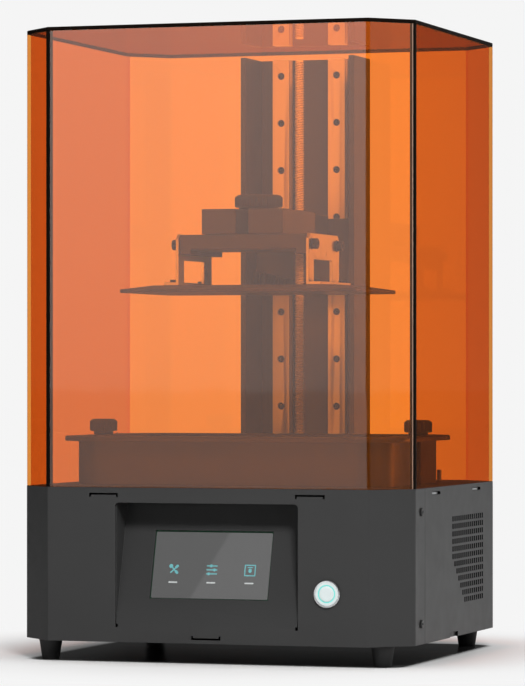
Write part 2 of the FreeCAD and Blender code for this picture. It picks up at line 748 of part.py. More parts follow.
def make_usb_socket():
    x, z = USB_X, USB_Z
    shell = block((x - 6.6, x + 6.6), (half_depth - 16, half_depth), (z - 3.1, z + 3.1))
    mouth = block((x - 6.1, x + 6.1), (half_depth - 15, half_depth + 1), (z - 2.6, z + 2.6))
    tongue = block((x - 5.6, x + 5.6), (half_depth - 15, half_depth - 1.5), (z + 0.2, z + 2))
    board = block((x - 9, x + 9), (half_depth - 22, half_depth - 3), (z - 4.7, z - 3.1))
    keep("usb_socket", join([cut(shell, [mouth]), tongue, board]))


# ---------------------------------------------------------------- Z tower
rail_back = cell("tower_back_y") - cell("tower_wall")
rail_face = rail_back - cell("rail_depth")


def make_tower():
    """Open-fronted channel bolted to the deck, with two rails and their screws."""
    half, wall = cell("tower_half"), cell("tower_wall")
    front, back = cell("tower_front_y"), cell("tower_back_y")
    channel = new_body("tower_channel")
    profile = [(-half, front), (-half + wall, front), (-half + wall, back - wall),
               (half - wall, back - wall), (half - wall, front), (half, front), (half, back), (-half, back)]
    pad(channel, "z", [profile], deck_top, cell("tower_top"))
    for name, side in (("left_rail", -1), ("right_rail", 1)):
        make_rail(name, side * cell("rail_x"))
    screws = []
    for side in (-1, 1):
        for hole in range(RAIL_HOLES):
            where = (side * cell("rail_x"), cell("rail_top_hole") - cell("rail_hole_pitch") * hole)
            head = rod(2.9, "y", (rail_face + 1.2, rail_face + 4.4), where)
            shank = rod(1.7, "y", (rail_face + 4.4, rail_back), where)
            screws.append(join([head, shank]))
    keep("rail_screws", group(screws))


def make_rail(name, x):
    """Profile rail with a ball groove in each flank and counterbored holes."""
    half = cell("rail_width") / 2
    body = new_body(name)
    levels = (rail_back, rail_back - 3.2, rail_back - 4.4, rail_back - 6.2, rail_back - 7.4, rail_face)
    widths = (half, half, half - 1.6, half - 1.6, half, half)
    right = [(x + w, y) for w, y in zip(widths, levels)]
    left = [(x - w, y) for w, y in zip(widths, levels)]
    top = cell("tower_top")
    pad(body, "z", [right + left[::-1]], deck_top + 2, top)
    hole = (x, cell("rail_top_hole"))
    bore = pocket(body, "y", [Circle(*hole, 3)], rail_face - 1, rail_face + 4.4)
    row(body, bore, "V_Axis", cell("rail_hole_pitch"), RAIL_HOLES, True)
    through = pocket(body, "y", [Circle(*hole, 1.75)], rail_face + 4.4, rail_back + 1)
    row(body, through, "V_Axis", cell("rail_hole_pitch"), RAIL_HOLES, True)


def make_drive():
    """Motor under the deck, with shaft, coupler and lead screw above it."""
    shaft = cell("shaft_radius")
    motor = new_body("z_motor")
    square = RoundedRectangle(0, screw_y, 42.3, 42.3, 4)
    pad(motor, "z", [square], deck_under - 40, deck_under)
    pad(motor, "z", [Circle(0, screw_y, 11)], deck_under, deck_under + 2)
    pocket(motor, "z", [Circle(0, screw_y, shaft + fit)], deck_under - 38, deck_under + 3)
    keep("motor_shaft", rod(shaft, "z", (deck_under - 36, deck_top + 16), (0, screw_y)))
    keep("lead_screw", rod(cell("screw_radius"), "z", (deck_top + 16.5, cell("tower_top") - 3), (0, screw_y)))
    sleeve = rod(9.5, "z", (deck_top + 3, deck_top + 29), (0, screw_y))
    lower = rod(shaft, "z", (deck_top + 2, deck_top + 16.25), (0, screw_y))
    upper = rod(cell("screw_radius"), "z", (deck_top + 16.25, deck_top + 30), (0, screw_y))
    keep("shaft_coupler", cut(sleeve, [lower, upper]))


def make_limit_sensor():
    """Slotted optical stop on the channel's left wall."""
    wall = -cell("tower_half") + cell("tower_wall")
    housing = block((wall, wall + 7), (90, 104), (deck_top + 3, deck_top + 19))
    slot = block((wall + 2.2, wall + 5.8), (89, 105), (deck_top + 8, deck_top + 20))
    keep("z_limit_sensor", cut(housing, [slot]))


# ---------------------------------------------------------------- carriage and arm
def make_carriage():
    low, high = cell("carriage_low"), cell("carriage_high")
    back = rail_face - 6
    front = back - 8
    plate = block((-42, 42), (front, back), (low, high))
    wall = -cell("tower_half") + cell("tower_wall")
    flag = block((wall + 3.5, wall + 4.5), (front - 10, front), (low + 6, low + 20))
    keep("carriage_plate", join([plate, flag]))
    blocks = []
    half_block, half_slot = 16, cell("rail_width") / 2 + gap
    for side in (-1, 1):
        middle = side * cell("rail_x")
        solid = block((middle - half_block, middle + half_block), (back, rail_back - 3.5), (low + 3, high - 3))
        slot = block((middle - half_slot, middle + half_slot), (rail_face - gap, rail_back), (low, high))
        blocks.append(cut(solid, [slot]))
    keep("rail_blocks", group(blocks))
    arm = new_body("cantilever_arm")
    side, neck = cell("arm_half"), 22
    nose, rear = cell("arm_front_y"), cell("arm_rear_y")
    plan = [(-side, nose), (side, nose), (side, rear), (neck, rear), (neck, front), (-neck, front),
            (-neck, rear), (-side, rear)]
    pad(arm, "z", [plan], cell("arm_low"), cell("arm_high"))
    slot_half = 5.2
    pocket(arm, "z", [rectangle(-slot_half, slot_half, nose - 1, build_y)], cell("arm_low") - 1,
           cell("arm_high") + 1)
    pocket(arm, "z", [Circle(0, build_y, slot_half)], cell("arm_low") - 1, cell("arm_high") + 1)
    pocket(arm, "z", [Circle(0, screw_y, 5.2)], cell("arm_low") - 1, cell("arm_high") + 1)
    flange = rod(11, "z", (cell("arm_low") - 3.5, cell("arm_low")), (0, screw_y))
    sleeve = rod(5.1, "z", (cell("arm_low"), cell("arm_low") + 12), (0, screw_y))
    thread = rod(cell("screw_radius") + fit, "z", (cell("arm_low") - 5, cell("arm_low") + 13), (0, screw_y))
    keep("lead_nut", cut(join([flange, sleeve]), [thread]))


# ---------------------------------------------------------------- build platform
BLOCK_LOW, BLOCK_LUG_LOW = 328, 324
CLAMP_SCREW_Z = 332
CLAMP_SCREW_YS = (-49, 18.7)


def make_mount_block():
    """Bar under the arm that the plate's side brackets clamp to, with a threaded hole for the knob."""
    half, lug = cell("block_half"), 44.6
    high = cell("arm_low") - gap
    body = new_body("mount_block")
    section = [(-half, BLOCK_LUG_LOW), (-lug, BLOCK_LUG_LOW), (-lug, BLOCK_LOW), (lug, BLOCK_LOW),
               (lug, BLOCK_LUG_LOW), (half, BLOCK_LUG_LOW), (half, high), (-half, high)]
    pad(body, "y", [section], cell("cheek_front_y") + 2, cell("cheek_rear_y"))
    pocket(body, "z", [Circle(0, build_y, 4 + fit)], BLOCK_LOW + 1, high + 1)
    for side in (-1, 1):
        holes = [Circle(y, CLAMP_SCREW_Z, 2.5 + BOLT_CLEAR) for y in CLAMP_SCREW_YS]
        pocket(body, "x", holes, *span(half - 14, half + 1, side))


def make_clamp_screws():
    screws = []
    outside = cell("cheek_inner") + cell("cheek_sheet") + gap
    for side in (-1, 1):
        for y in CLAMP_SCREW_YS:
            head = rod(4.25, "x", span(outside, outside + 5, side), (y, CLAMP_SCREW_Z))
            socket = rod(2.2, "x", span(outside + 2.5, outside + 6, side), (y, CLAMP_SCREW_Z))
            shank = rod(2.5, "x", span(cell("block_half") - 12, outside, side), (y, CLAMP_SCREW_Z))
            screws.append(join([cut(head, [socket]), shank]))
    keep("clamp_screws", group(screws))


def make_build_plate():
    """Plate with a thin rim that rises in a wide bevel to a flat top."""
    length, depth, low = cell("plate_length"), cell("plate_depth"), cell("plate_floor")
    body = new_body("build_plate")
    rim = RoundedRectangle(0, build_y, length, depth, 12)
    pad(body, "z", [rim], low, low + cell("plate_edge"))
    bevel = cell("plate_bevel") * 2
    crown = RoundedRectangle(0, build_y, length - bevel, depth - bevel, 6)
    loft = body.newObject("PartDesign::AdditiveLoft", "Bevel")
    loft.Profile = sketch_on(body, "z", [rim], low + cell("plate_edge"))
    loft.Sections = [sketch_on(body, "z", [crown], low + cell("plate_thickness"))]
    loft.Ruled = True
    body.Tip = loft
    holes = [Circle(side * cell("plate_screw_x"), y, 1.5 + BOLT_CLEAR)
             for side in (-1, 1) for y in CLAMP_SCREW_YS]
    pocket(body, "z", holes, low + 1.5, low + 10)


def make_plate_bracket(side):
    """Side bracket: an upright cheek with a window and slotted screw holes, and a foot flange."""
    inner = cell("cheek_inner")
    outer = inner + cell("cheek_sheet")
    seat = cell("plate_floor") + cell("plate_thickness")
    front, rear, high = cell("cheek_front_y"), cell("cheek_rear_y"), cell("cheek_high")
    clip = 4
    body = doc.addObject("PartDesign::Body", "Bracket")
    cheek = [(front, seat), (rear, seat), (rear, high - clip), (rear - clip, high), (front + clip, high),
             (front, high - clip)]
    window = rectangle(front + 13.3, 6, seat + 2.5, cell("cheek_window_high"))
    slots = [RoundedRectangle(y, CLAMP_SCREW_Z, 5.6, 9.6, 2.75) for y in CLAMP_SCREW_YS]
    pad(body, "x", [cheek, window] + slots, *span(inner, outer, side))
    pad(body, "z", [rectangle(*span(outer, outer + 10, side), front, rear)], seat, seat + 2.5)
    holes = [Circle(side * cell("plate_screw_x"), y, 1.7) for y in CLAMP_SCREW_YS]
    pocket(body, "z", holes, seat - 1, seat + 3.5)
    return body


def make_bracket_screws():
    seat = cell("plate_floor") + cell("plate_thickness") + 2.5
    screws = []
    for side in (-1, 1):
        for y in CLAMP_SCREW_YS:
            where = (side * cell("plate_screw_x"), y)
            head = rod(3, "z", (seat, seat + 2.2), where)
            shank = rod(1.5, "z", (cell("plate_floor") + 1.6, seat), where)
            screws.append(join([head, shank]))
    keep("bracket_screws", group(screws))


def make_knob(name, x, y, seat, radius, thick, collar, stud_radius, stud_low):
    """Turned knob with a chamfered head, a collar below it and a threaded stud."""
    body = new_body(name)
    top = seat + collar + thick
    edge = 1.5
    profile = [(0, stud_low), (stud_radius, stud_low), (stud_radius, seat), (radius - 3.3, seat),
               (radius - 3.3, seat + collar), (radius - 0.6, seat + collar), (radius, seat + collar + 0.6),
               (radius, top - edge), (radius - edge * 1.6, top), (0, top)]
    revolve(body, profile)
    return place(body, x, y, 0)


# ---------------------------------------------------------------- vat
def make_vat():
    """Cast tank with a wide lip, a well open to the film window, and notches for the clamp studs."""
    top, lip = cell("vat_top"), cell("vat_lip_thickness")
    low, film = deck_top + gap, cell("film_height")
    body = new_body("vat_body")
    wall = RoundedRectangle(0, build_y, cell("vat_length"), cell("vat_depth"), 25)
    pad(body, "z", [wall], low, top - lip)
    for side in (-1, 1):
        pocket(body, "z", [Circle(side * cell("vat_knob_x"), build_y, 8)], low - 1, top - lip)
    pad(body, "z", [RoundedRectangle(0, build_y, cell("vat_lip_length"), cell("vat_lip_depth"), 42)],
        top - lip, top)
    for side in (-1, 1):
        pocket(body, "z", [Circle(side * cell("vat_knob_x"), build_y, 3)], top - lip - 1, top + 1)
    well = RoundedRectangle(0, build_y, cell("vat_well_length"), cell("vat_well_depth"), 14)
    pocket(body, "z", [well], film + 4, top + 1)
    window = RoundedRectangle(0, build_y, cell("vat_window_length"), cell("vat_window_depth"), 8)
    pocket(body, "z", [window], film - 1, film + 5)
    recess_length, recess_depth = cell("vat_well_length") + 2, cell("vat_well_depth") + 8
    pocket(body, "z", [RoundedRectangle(0, build_y, recess_length, recess_depth, 8)], low - 1, film)
    round_edges(body, 1.2, at_height(top))
    frame = new_body("film_frame")
    pad(frame, "z", [RoundedRectangle(0, build_y, recess_length - 1, recess_depth - 1, 7.5),
                     RoundedRectangle(0, build_y, cell("vat_window_length"), cell("vat_window_depth"), 8)],
        low, film - 0.2)
    sheet_body = new_body("vat_film")
    pad(sheet_body, "z", [RoundedRectangle(0, build_y, recess_length - 4, recess_depth - 4, 6)],
        film - 0.2, film)
    for name, side in (("left_vat_knob", -1), ("right_vat_knob", 1)):
        make_knob(name, side * cell("vat_knob_x"), build_y, top + gap, cell("vat_knob_radius"), 10, 2.7,
                  cell("stud_radius"), deck_under)


# ---------------------------------------------------------------- hood
def make_hood():
    """Four bent acrylic walls, each a face and one corner, with a flat top panel on them."""
    roof = hood_top - acrylic
    walls = (("hood_front", [0, 1, 2]), ("hood_right", [2, 3, 4]), ("hood_rear", [4, 5, 6]),
             ("hood_left", [6, 7, 0]))
    for name, corners in walls:
        wall = folded_wall(name, corners, acrylic, deck_top, roof)
        bend(wall, cell("acrylic_bend"), [corners[1]])
    top = new_body("hood_top")
    pad(top, "z", [octagon(0)], roof, hood_top)
    bend(top, cell("acrylic_bend"), [1, 3, 5, 7])


# ---------------------------------------------------------------- assemble, check and write
make_front_panel()
make_side_panel("left_side_panel", -1)
make_side_panel("right_side_panel", 1)
make_rear_panel()
make_bottom_tray()
make_deck_plate()
keep("deck_brackets", group(both_sides(make_deck_bracket)))
make_feet()
make_panel_screws()
make_screen()
make_power_button()
make_lcd()
make_light_engine()
make_fan("rear_fan", Rotation(Vector(1, 0, 0), -90), FAN_X, half_depth - steel - FAN_DEEP, FAN_Z)
make_fan("light_fan", Rotation(), 0, build_y, cell("light_floor") - 36 - FAN_DEEP - 1)
make_power_supply()
make_control_board()
make_power_inlet()
make_usb_socket()
make_tower()
make_drive()
make_limit_sensor()
make_carriage()
make_mount_block()
make_clamp_screws()
make_build_plate()
keep("plate_brackets", group(both_sides(make_plate_bracket)))
make_bracket_screws()
make_knob("platform_knob", 0, build_y, cell("arm_high") + gap, cell("platform_knob_radius"), 10, 2.4, 4,
          BLOCK_LOW + 2)
make_vat()
keep("hood_pegs", group([rod(2, "z", (deck_under, deck_top + 9), (side * 113, 127)) for side in (-1, 1)]))
make_hood()
doc.recompute()

for thing in doc.Objects:
    if {"Invalid", "Error"} & set(thing.State):
        raise RuntimeError(f"{thing.Label} failed: {thing.State}")
os.makedirs("parts", exist_ok=True)
for piece in parts:
    if piece.Shape.isNull() or not piece.Shape.isValid() or not piece.Shape.Solids:
        raise RuntimeError(f"{piece.Label} has no valid solid")
    piece.Shape.exportStep(f"parts/{piece.Label}.step")
print(f"wrote {len(parts)} sub-parts")
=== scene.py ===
"""Looks of a desktop resin printer: materials, finished surfaces, studio and camera.

Lengths are in metres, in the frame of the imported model: X to the right, Y to the back, Z up from the floor.
"""

import json
import math

import bmesh
import bpy
from mathutils import Matrix, Vector

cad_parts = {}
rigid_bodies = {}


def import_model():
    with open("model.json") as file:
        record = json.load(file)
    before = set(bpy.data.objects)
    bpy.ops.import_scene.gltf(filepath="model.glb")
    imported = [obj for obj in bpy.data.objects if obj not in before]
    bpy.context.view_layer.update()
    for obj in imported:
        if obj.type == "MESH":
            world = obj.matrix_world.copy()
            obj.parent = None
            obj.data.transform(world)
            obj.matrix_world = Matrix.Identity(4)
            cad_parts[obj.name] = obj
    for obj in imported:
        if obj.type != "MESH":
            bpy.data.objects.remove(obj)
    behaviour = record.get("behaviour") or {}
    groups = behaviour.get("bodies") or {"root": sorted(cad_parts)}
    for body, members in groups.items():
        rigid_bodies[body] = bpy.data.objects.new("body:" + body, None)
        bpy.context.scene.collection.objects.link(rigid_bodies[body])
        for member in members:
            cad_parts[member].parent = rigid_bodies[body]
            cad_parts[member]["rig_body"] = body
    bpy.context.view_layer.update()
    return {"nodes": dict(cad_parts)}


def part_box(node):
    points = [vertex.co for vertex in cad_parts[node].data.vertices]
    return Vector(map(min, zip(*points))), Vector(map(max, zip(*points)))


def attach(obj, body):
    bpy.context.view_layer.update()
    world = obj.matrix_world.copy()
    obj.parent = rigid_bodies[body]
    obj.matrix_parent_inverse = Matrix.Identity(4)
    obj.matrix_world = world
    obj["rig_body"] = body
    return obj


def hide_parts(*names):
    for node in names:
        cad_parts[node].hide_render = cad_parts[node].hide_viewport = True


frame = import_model()

MM = 0.001
WELD = 0.002 * MM
SLOTS = {name: node.data.materials[0].name for name, node in frame["nodes"].items()}
BODIES = {name: node["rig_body"] for name, node in frame["nodes"].items()}


# ---------------------------------------------------------------- node materials
class Graph:
    """A material's node tree, with short ways to add to it."""

    def __init__(self, name):
        self.material = bpy.data.materials.new(name)
        self.material.use_nodes = True
        self.tree = self.material.node_tree
        self.tree.nodes.clear()
        self.output = self.tree.nodes.new("ShaderNodeOutputMaterial")

    def node(self, kind, inputs=None, **settings):
        made = self.tree.nodes.new("ShaderNode" + kind)
        for key, value in settings.items():
            setattr(made, key, value)
        for key, value in (inputs or {}).items():
            if isinstance(value, bpy.types.NodeSocket):
                self.tree.links.new(value, made.inputs[key])
            else:
                made.inputs[key].default_value = value
        return made

    def math(self, operation, a, b=0.0, c=0.0):
        return self.node("Math", {0: a, 1: b, 2: c}, operation=operation).outputs[0]

    def fit(self, value, low, high, to_low=0.0, to_high=1.0, smooth=False):
        kind = "SMOOTHSTEP" if smooth else "LINEAR"
        sockets = {"Value": value, "From Min": low, "From Max": high, "To Min": to_low, "To Max": to_high}
        return self.node("MapRange", sockets, interpolation_type=kind).outputs[0]

    def blend(self, factor, a, b, how="MIX"):
        return self.node("Mix", {0: factor, 6: a, 7: b}, data_type="RGBA", blend_type=how).outputs[2]

    def place(self):
        return self.node("TexCoord").outputs["Object"]

    def stretched(self, scale):
        return self.node("Mapping", {"Vector": self.place(), "Scale": scale}).outputs[0]

    def noise(self, where, scale, detail=2.0, rough=0.5):
        sockets = {"Vector": where, "Scale": scale, "Detail": detail, "Roughness": rough}
        return self.node("TexNoise", sockets).outputs[0]

    def bump(self, height, strength, depth):
        return self.node("Bump", {"Height": height, "Strength": strength, "Distance": depth}).outputs[0]

    def edges(self, radius):
        """About 1 along convex and concave edges, 0 on the flats."""
        rounded = self.node("Bevel", {"Radius": radius}, samples=4).outputs[0]
        sharp = self.node("NewGeometry").outputs["Normal"]
        agree = self.node("VectorMath", {0: rounded, 1: sharp}, operation="DOT_PRODUCT").outputs["Value"]
        return self.fit(agree, 0.995, 0.90)

    def finish(self, shader):
        self.tree.links.new(shader, self.output.inputs["Surface"])
        return self.material


def grey(level):
    return (level, level, level, 1.0)


def scaled(colour, factor):
    return tuple(min(1.0, part * factor) for part in colour[:3]) + (1.0,)


def surface(name, colour, roughness, metallic=0.0, grain=1400.0, stretch=(1, 1, 1), mottle=0.10,
            spread=0.08, bump=0.12, depth=0.00004, wear=0.0, worn=None, shader=None):
    """A solid finish: fine grain, broad tone changes, and edges rubbed lighter."""
    g = Graph(name)
    fine = g.noise(g.stretched(stretch), grain, 3.0, 0.6)
    broad = g.noise(g.place(), 16.0, 3.0)
    smudge = g.noise(g.place(), 70.0, 2.0)
    tone = g.math("MULTIPLY_ADD", fine, 0.4, g.math("MULTIPLY", broad, 0.6))
    base = g.blend(g.fit(tone, 0.3, 0.7), scaled(colour, 1 - mottle), scaled(colour, 1 + mottle))
    if wear:
        lighter_edges = g.math("MULTIPLY", g.edges(0.0007), g.fit(smudge, 0.35, 0.75, 0.3 * wear, wear))
        base = g.blend(lighter_edges, base, worn or scaled(colour, 2.2))
    gloss = g.math("MULTIPLY_ADD", fine, 0.5, g.math("MULTIPLY", smudge, 0.5))
    inputs = {"Base Color": base, "Metallic": metallic,
              "Roughness": g.fit(gloss, 0.3, 0.7, roughness - spread, roughness + spread),
              "Normal": g.bump(fine, bump, depth)}
    inputs.update(shader or {})
    return g.finish(g.node("BsdfPrincipled", inputs).outputs[0])


def powder_coat(name, colour):
    """Powder coat: an orange-peel skin of small cells over a broader ripple."""
    g = Graph(name)
    cells = g.node("TexVoronoi", {"Vector": g.place(), "Scale": 1500.0},
                   feature="SMOOTH_F1").outputs["Distance"]
    ripple = g.noise(g.place(), 420.0, 2.0)
    broad = g.noise(g.place(), 9.0, 3.0)
    skin = g.math("MULTIPLY_ADD", cells, 0.6, g.math("MULTIPLY", ripple, 0.7))
    base = g.blend(g.fit(broad, 0.3, 0.7), scaled(colour, 0.96), scaled(colour, 1.04))
    # Edges drawn lighter in patches.
    lighter_edges = g.math("MULTIPLY", g.edges(0.0006), g.fit(g.noise(g.place(), 130.0), 0.35, 0.7, 0.05, 0.35))
    base = g.blend(lighter_edges, base, scaled(colour, 2.4))
    rough = g.fit(g.noise(g.place(), 60.0, 3.0), 0.3, 0.7, 0.46, 0.51)
    return g.finish(g.node("BsdfPrincipled", {
        "Base Color": base, "Roughness": rough, "Specular IOR Level": 0.32,
        "Normal": g.bump(skin, 0.22, 0.00006)}).outputs[0])


def clear_sheet(name, tint, grazing_tint, ior, mirror, rough, haze, haze_colour):
    """Thin clear sheet: light goes straight through with a tint, and the outside mirrors by Fresnel."""
    g = Graph(name)
    geometry = g.node("NewGeometry")
    outside = g.math("SUBTRACT", 1.0, geometry.outputs["Backfacing"])
    streaks = g.noise(g.place(), 900.0, 4.0, 0.7)
    wave = g.noise(g.place(), 12.0, 2.0)
    normal = g.bump(wave, 0.10, 0.0006)
    facing = g.node("LayerWeight", {"Blend": 0.5}).outputs["Facing"]
    straight = g.node("BsdfTransparent", {"Color": tint}).outputs[0]
    slanted = g.node("BsdfTransparent", {"Color": grazing_tint}).outputs[0]
    through = g.node("MixShader", {0: facing, 1: straight, 2: slanted}).outputs[0]
    cloudy = g.node("BsdfDiffuse", {"Color": haze_colour, "Roughness": 0.0}).outputs[0]
    dust = g.math("MULTIPLY", g.fit(streaks, 0.35, 0.75, 0.985 * haze, 1.03 * haze), outside)
    body = g.node("MixShader", {0: dust, 1: through, 2: cloudy}).outputs[0]
    bounce = g.node("Fresnel", {"IOR": ior, "Normal": normal}).outputs[0]
    share = g.math("MULTIPLY", g.math("MULTIPLY", bounce, mirror), outside)
    shine = g.node("BsdfGlossy", {"Color": grey(1.0), "Normal": normal,
                                  "Roughness": g.fit(streaks, 0.3, 0.7, rough * 0.7, rough * 1.3)}).outputs[0]
    share = g.math("MINIMUM", share, 1.0)
    return g.finish(g.node("MixShader", {0: share, 1: body, 2: shine}).outputs[0])


def glow(name, colour, strength, speckle=0.02):
    """Lit translucent plastic with a slightly uneven glow."""
    g = Graph(name)
    uneven = g.noise(g.place(), 600.0, 2.0)
    lit = g.blend(g.fit(uneven, 0.3, 0.7), scaled(colour, 1 - speckle), scaled(colour, 1 + speckle))
    return g.finish(g.node("BsdfPrincipled", {
        "Base Color": lit, "Roughness": 0.35, "Emission Color": lit, "Emission Strength": strength,
        "Normal": g.bump(uneven, 0.05, 0.00003)}).outputs[0])


ACRYLIC_TINT = (0.998, 0.705, 0.34, 1.0)
ACRYLIC_GRAZING = (0.90, 0.485, 0.17, 1.0)

MATERIALS = {
    "powder_coat_grey": powder_coat("powder_coat_grey.look", grey(0.034)),
    "deck_black": powder_coat("deck_black.look", grey(0.030)),
    "zinc_steel": surface("zinc_steel.look", (0.50, 0.51, 0.52, 1), 0.36, 1.0, grain=60, mottle=0.22,
                          spread=0.12, bump=0.05),
    "foot_rubber": surface("foot_rubber.look", grey(0.013), 0.62, grain=900, bump=0.3, depth=0.00006),
    "black_screw_steel": surface("black_screw_steel.look", grey(0.030), 0.34, 0.75, grain=2200, wear=0.5,
                                 worn=grey(0.16)),
    "circuit_board": surface("circuit_board.look", (0.012, 0.075, 0.035, 1), 0.34, grain=500, mottle=0.35),
    "button_metal": surface("button_metal.look", (0.55, 0.56, 0.57, 1), 0.20, 1.0, grain=2600,
                            stretch=(1, 0.1, 1), bump=0.03, depth=0.00001),
    "button_white": glow("button_white.look", (0.36, 0.40, 0.40, 1), 0.85),
    "lcd_glass": surface("lcd_glass.look", (0.012, 0.013, 0.017, 1), 0.07, grain=300, mottle=0.3,
                         spread=0.03, bump=0.01),
    "screen_glass": surface("screen_glass.look", (0.11, 0.112, 0.115, 1), 0.12, grain=300, mottle=0.05,
                            spread=0.03, bump=0.01),
    "black_plastic": surface("black_plastic.look", grey(0.020), 0.42, grain=1700, bump=0.25,
                             depth=0.00005, wear=0.25),
    "clear_plastic": clear_sheet("clear_plastic.look", grey(0.97), grey(0.90), 1.49, 1.0, 0.05, 0.02,
                                 grey(0.8)),
    "led_yellow": glow("led_yellow.look", (0.95, 0.80, 0.30, 1), 0.15),
    "bright_aluminium": surface("bright_aluminium.look", (0.78, 0.79, 0.80, 1), 0.32, 1.0, grain=2200,
                                stretch=(0.2, 1, 1), bump=0.03, depth=0.00001, wear=0.3, worn=grey(0.9)),
    "bracket_aluminium": surface("bracket_aluminium.look", (0.82, 0.82, 0.80, 1), 0.32, 1.0, grain=2600,
                                 stretch=(1, 1, 0.3), mottle=0.05, bump=0.03, depth=0.00001, wear=0.3,
                                 worn=grey(0.95)),
    "socket_steel": surface("socket_steel.look", (0.70, 0.71, 0.73, 1), 0.24, 1.0, grain=1500,
                            bump=0.05),
    "black_anodised": surface("black_anodised.look", grey(0.055), 0.38, 0.35, grain=2400,
                              stretch=(1, 1, 0.25), bump=0.05, depth=0.00002, wear=0.35,
                              worn=grey(0.20)),
    "rail_steel": surface("rail_steel.look", (0.90, 0.93, 0.93, 1), 0.34, 0.45, grain=2600,
                          stretch=(1, 1, 0.3), mottle=0.01, spread=0.01, bump=0.01, depth=0.00001),
    "motor_black": surface("motor_black.look", grey(0.025), 0.45, 0.2, grain=800, wear=0.4,
                           worn=grey(0.35)),
    "nut_brass": surface("nut_brass.look", (0.78, 0.56, 0.24, 1), 0.28, 1.0, grain=1500,
                         stretch=(1, 1, 0.1), wear=0.3, worn=(0.95, 0.8, 0.5, 1)),
    "vat_metal": surface("vat_metal.look", grey(0.060), 0.36, 0.55, grain=1500, bump=0.10,
                         depth=0.00004, wear=0.4, worn=grey(0.28)),
    "knob_black": surface("knob_black.look", grey(0.018), 0.45, grain=1500, bump=0.22, depth=0.00005,
                          wear=0.35, worn=grey(0.07)),
    "tinted_acrylic": clear_sheet("tinted_acrylic.look", ACRYLIC_TINT, ACRYLIC_GRAZING, 1.49, 1.0, 0.02,
                                  0.045, (1.0, 0.27, 0.04, 1)),
}
# Painted highlight: a hazier, lighter strip of the acrylic beside the front wall's right-hand glued corner,
# standing for a light line along that edge.
PAINTED_EDGE_HIGHLIGHT = clear_sheet("painted_edge_highlight.look", ACRYLIC_TINT, ACRYLIC_GRAZING, 1.49, 1.0, 0.05, 0.30,
                         (0.95, 0.62, 0.45, 1))
BONDED_EDGE = surface("bonded_edge.look", (0.005, 0.003, 0.002, 1), 0.65, grain=700, mottle=0.4, bump=0.1,
                      shader={"Specular IOR Level": 0.06})
THREAD_STEEL = surface("thread_steel.look", (0.92, 0.94, 0.95, 1), 0.42, 0.35, grain=2200, mottle=0.02,
                       bump=0.02, depth=0.00001)
# Painted shade: near-black for the walls of small cut-outs in the powder-coated panels, standing for the
# shadow inside the slots.
PAINTED_SLOT_SHADE = surface("painted_slot_shade.look", grey(0.006), 0.7, grain=1500, shader={"Specular IOR Level": 0.1})
SCREEN_COVER = clear_sheet("screen_cover.look", grey(0.92), grey(0.85), 1.5, 1.0, 0.03, 0.01, grey(0.5))


# ---------------------------------------------------------------- mesh helpers
def piece(name, mesh_data, body, materials, stands_for=(), smooth=35.0):
    """Make an object from a bmesh that rides on a body and stands for CAD nodes."""
    mesh = bpy.data.meshes.new(name)
    bmesh.ops.recalc_face_normals(mesh_data, faces=mesh_data.faces)
    mesh_data.to_mesh(mesh)
    mesh_data.free()
    for material in materials:
        mesh.materials.append(material)
    mesh.shade_smooth()
    mesh.set_sharp_from_angle(angle=math.radians(smooth))
    thing = bpy.data.objects.new(name, mesh)
    bpy.context.scene.collection.objects.link(thing)
    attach(thing, body)
    if stands_for:
        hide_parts(*stands_for)
    return thing


def soften(thing, width, segments=2):
    """Round the sharp edges, keeping the flats flat in shading."""
    modifier = thing.modifiers.new("soft_edges", "BEVEL")
    modifier.limit_method = "ANGLE"
    modifier.angle_limit = math.radians(32)
    modifier.width = width
    modifier.segments = segments
    modifier.harden_normals = True
    modifier.use_clamp_overlap = False
    return thing


def refined(node, width, segments=2):
    """The CAD node's own shape, with its facets merged and its edges softened."""
    shape = bmesh.new()
    shape.from_mesh(frame["nodes"][node].data)
    bmesh.ops.remove_doubles(shape, verts=shape.verts, dist=WELD)
    bmesh.ops.dissolve_limit(shape, angle_limit=math.radians(0.5), verts=shape.verts, edges=shape.edges)
    for face in shape.faces:
        face.material_index = 0
    slot = SLOTS[node]
    thing = piece(f"{node}_finished", shape, BODIES[node], [MATERIALS[slot]], [node], 32)
    return soften(thing, width, segments)


def solids(node):
    """Lowest and highest corner of each separate solid in a CAD node."""
    shape = bmesh.new()
    shape.from_mesh(frame["nodes"][node].data)
    bmesh.ops.remove_doubles(shape, verts=shape.verts, dist=WELD)
    waiting, boxes = set(shape.verts), []
    while waiting:
        front, found = [waiting.pop()], []
        while front:
            vertex = front.pop()
            found.append(vertex.co.copy())
            for edge in vertex.link_edges:
                other = edge.other_vert(vertex)
                if other in waiting:
                    waiting.remove(other)
                    front.append(other)
        boxes.append((Vector(map(min, *found)), Vector(map(max, *found))))
    shape.free()
    return sorted(boxes, key=lambda box: tuple(round(part, 5) for part in box[0]))


def circle(radius):
    """Radius at any angle of a round section."""
    return lambda angle: radius


def hexagon(across_flats):
    """Radius at an angle of a six-sided section."""
    return lambda angle: across_flats / 2 / math.cos(angle % (math.pi / 3) - math.pi / 6)


def knurl(radius, depth, teeth):
    """Radius at an angle of a scalloped grip."""
    return lambda angle: radius - depth * (0.5 - 0.5 * math.cos(teeth * angle)) ** 0.7


def thread(radius, depth, pitch, low, high, starts=1, steps=6):
    """Rings of a right-handed thread with flat crests and roots, between two heights."""
    def ring(height):
        def radius_at(angle):
            share = (height / pitch - starts * angle / (2 * math.pi)) % 1.0
            crest = (abs(share - 0.5) * 2 - 0.3) / 0.4
            return radius - depth * (1 - min(1.0, max(0.0, crest)))
        return radius_at
    count = max(2, round((high - low) / pitch * steps))
    heights = [low + (high - low) * i / count for i in range(count + 1)]
    return [(ring(height), height) for height in heights]


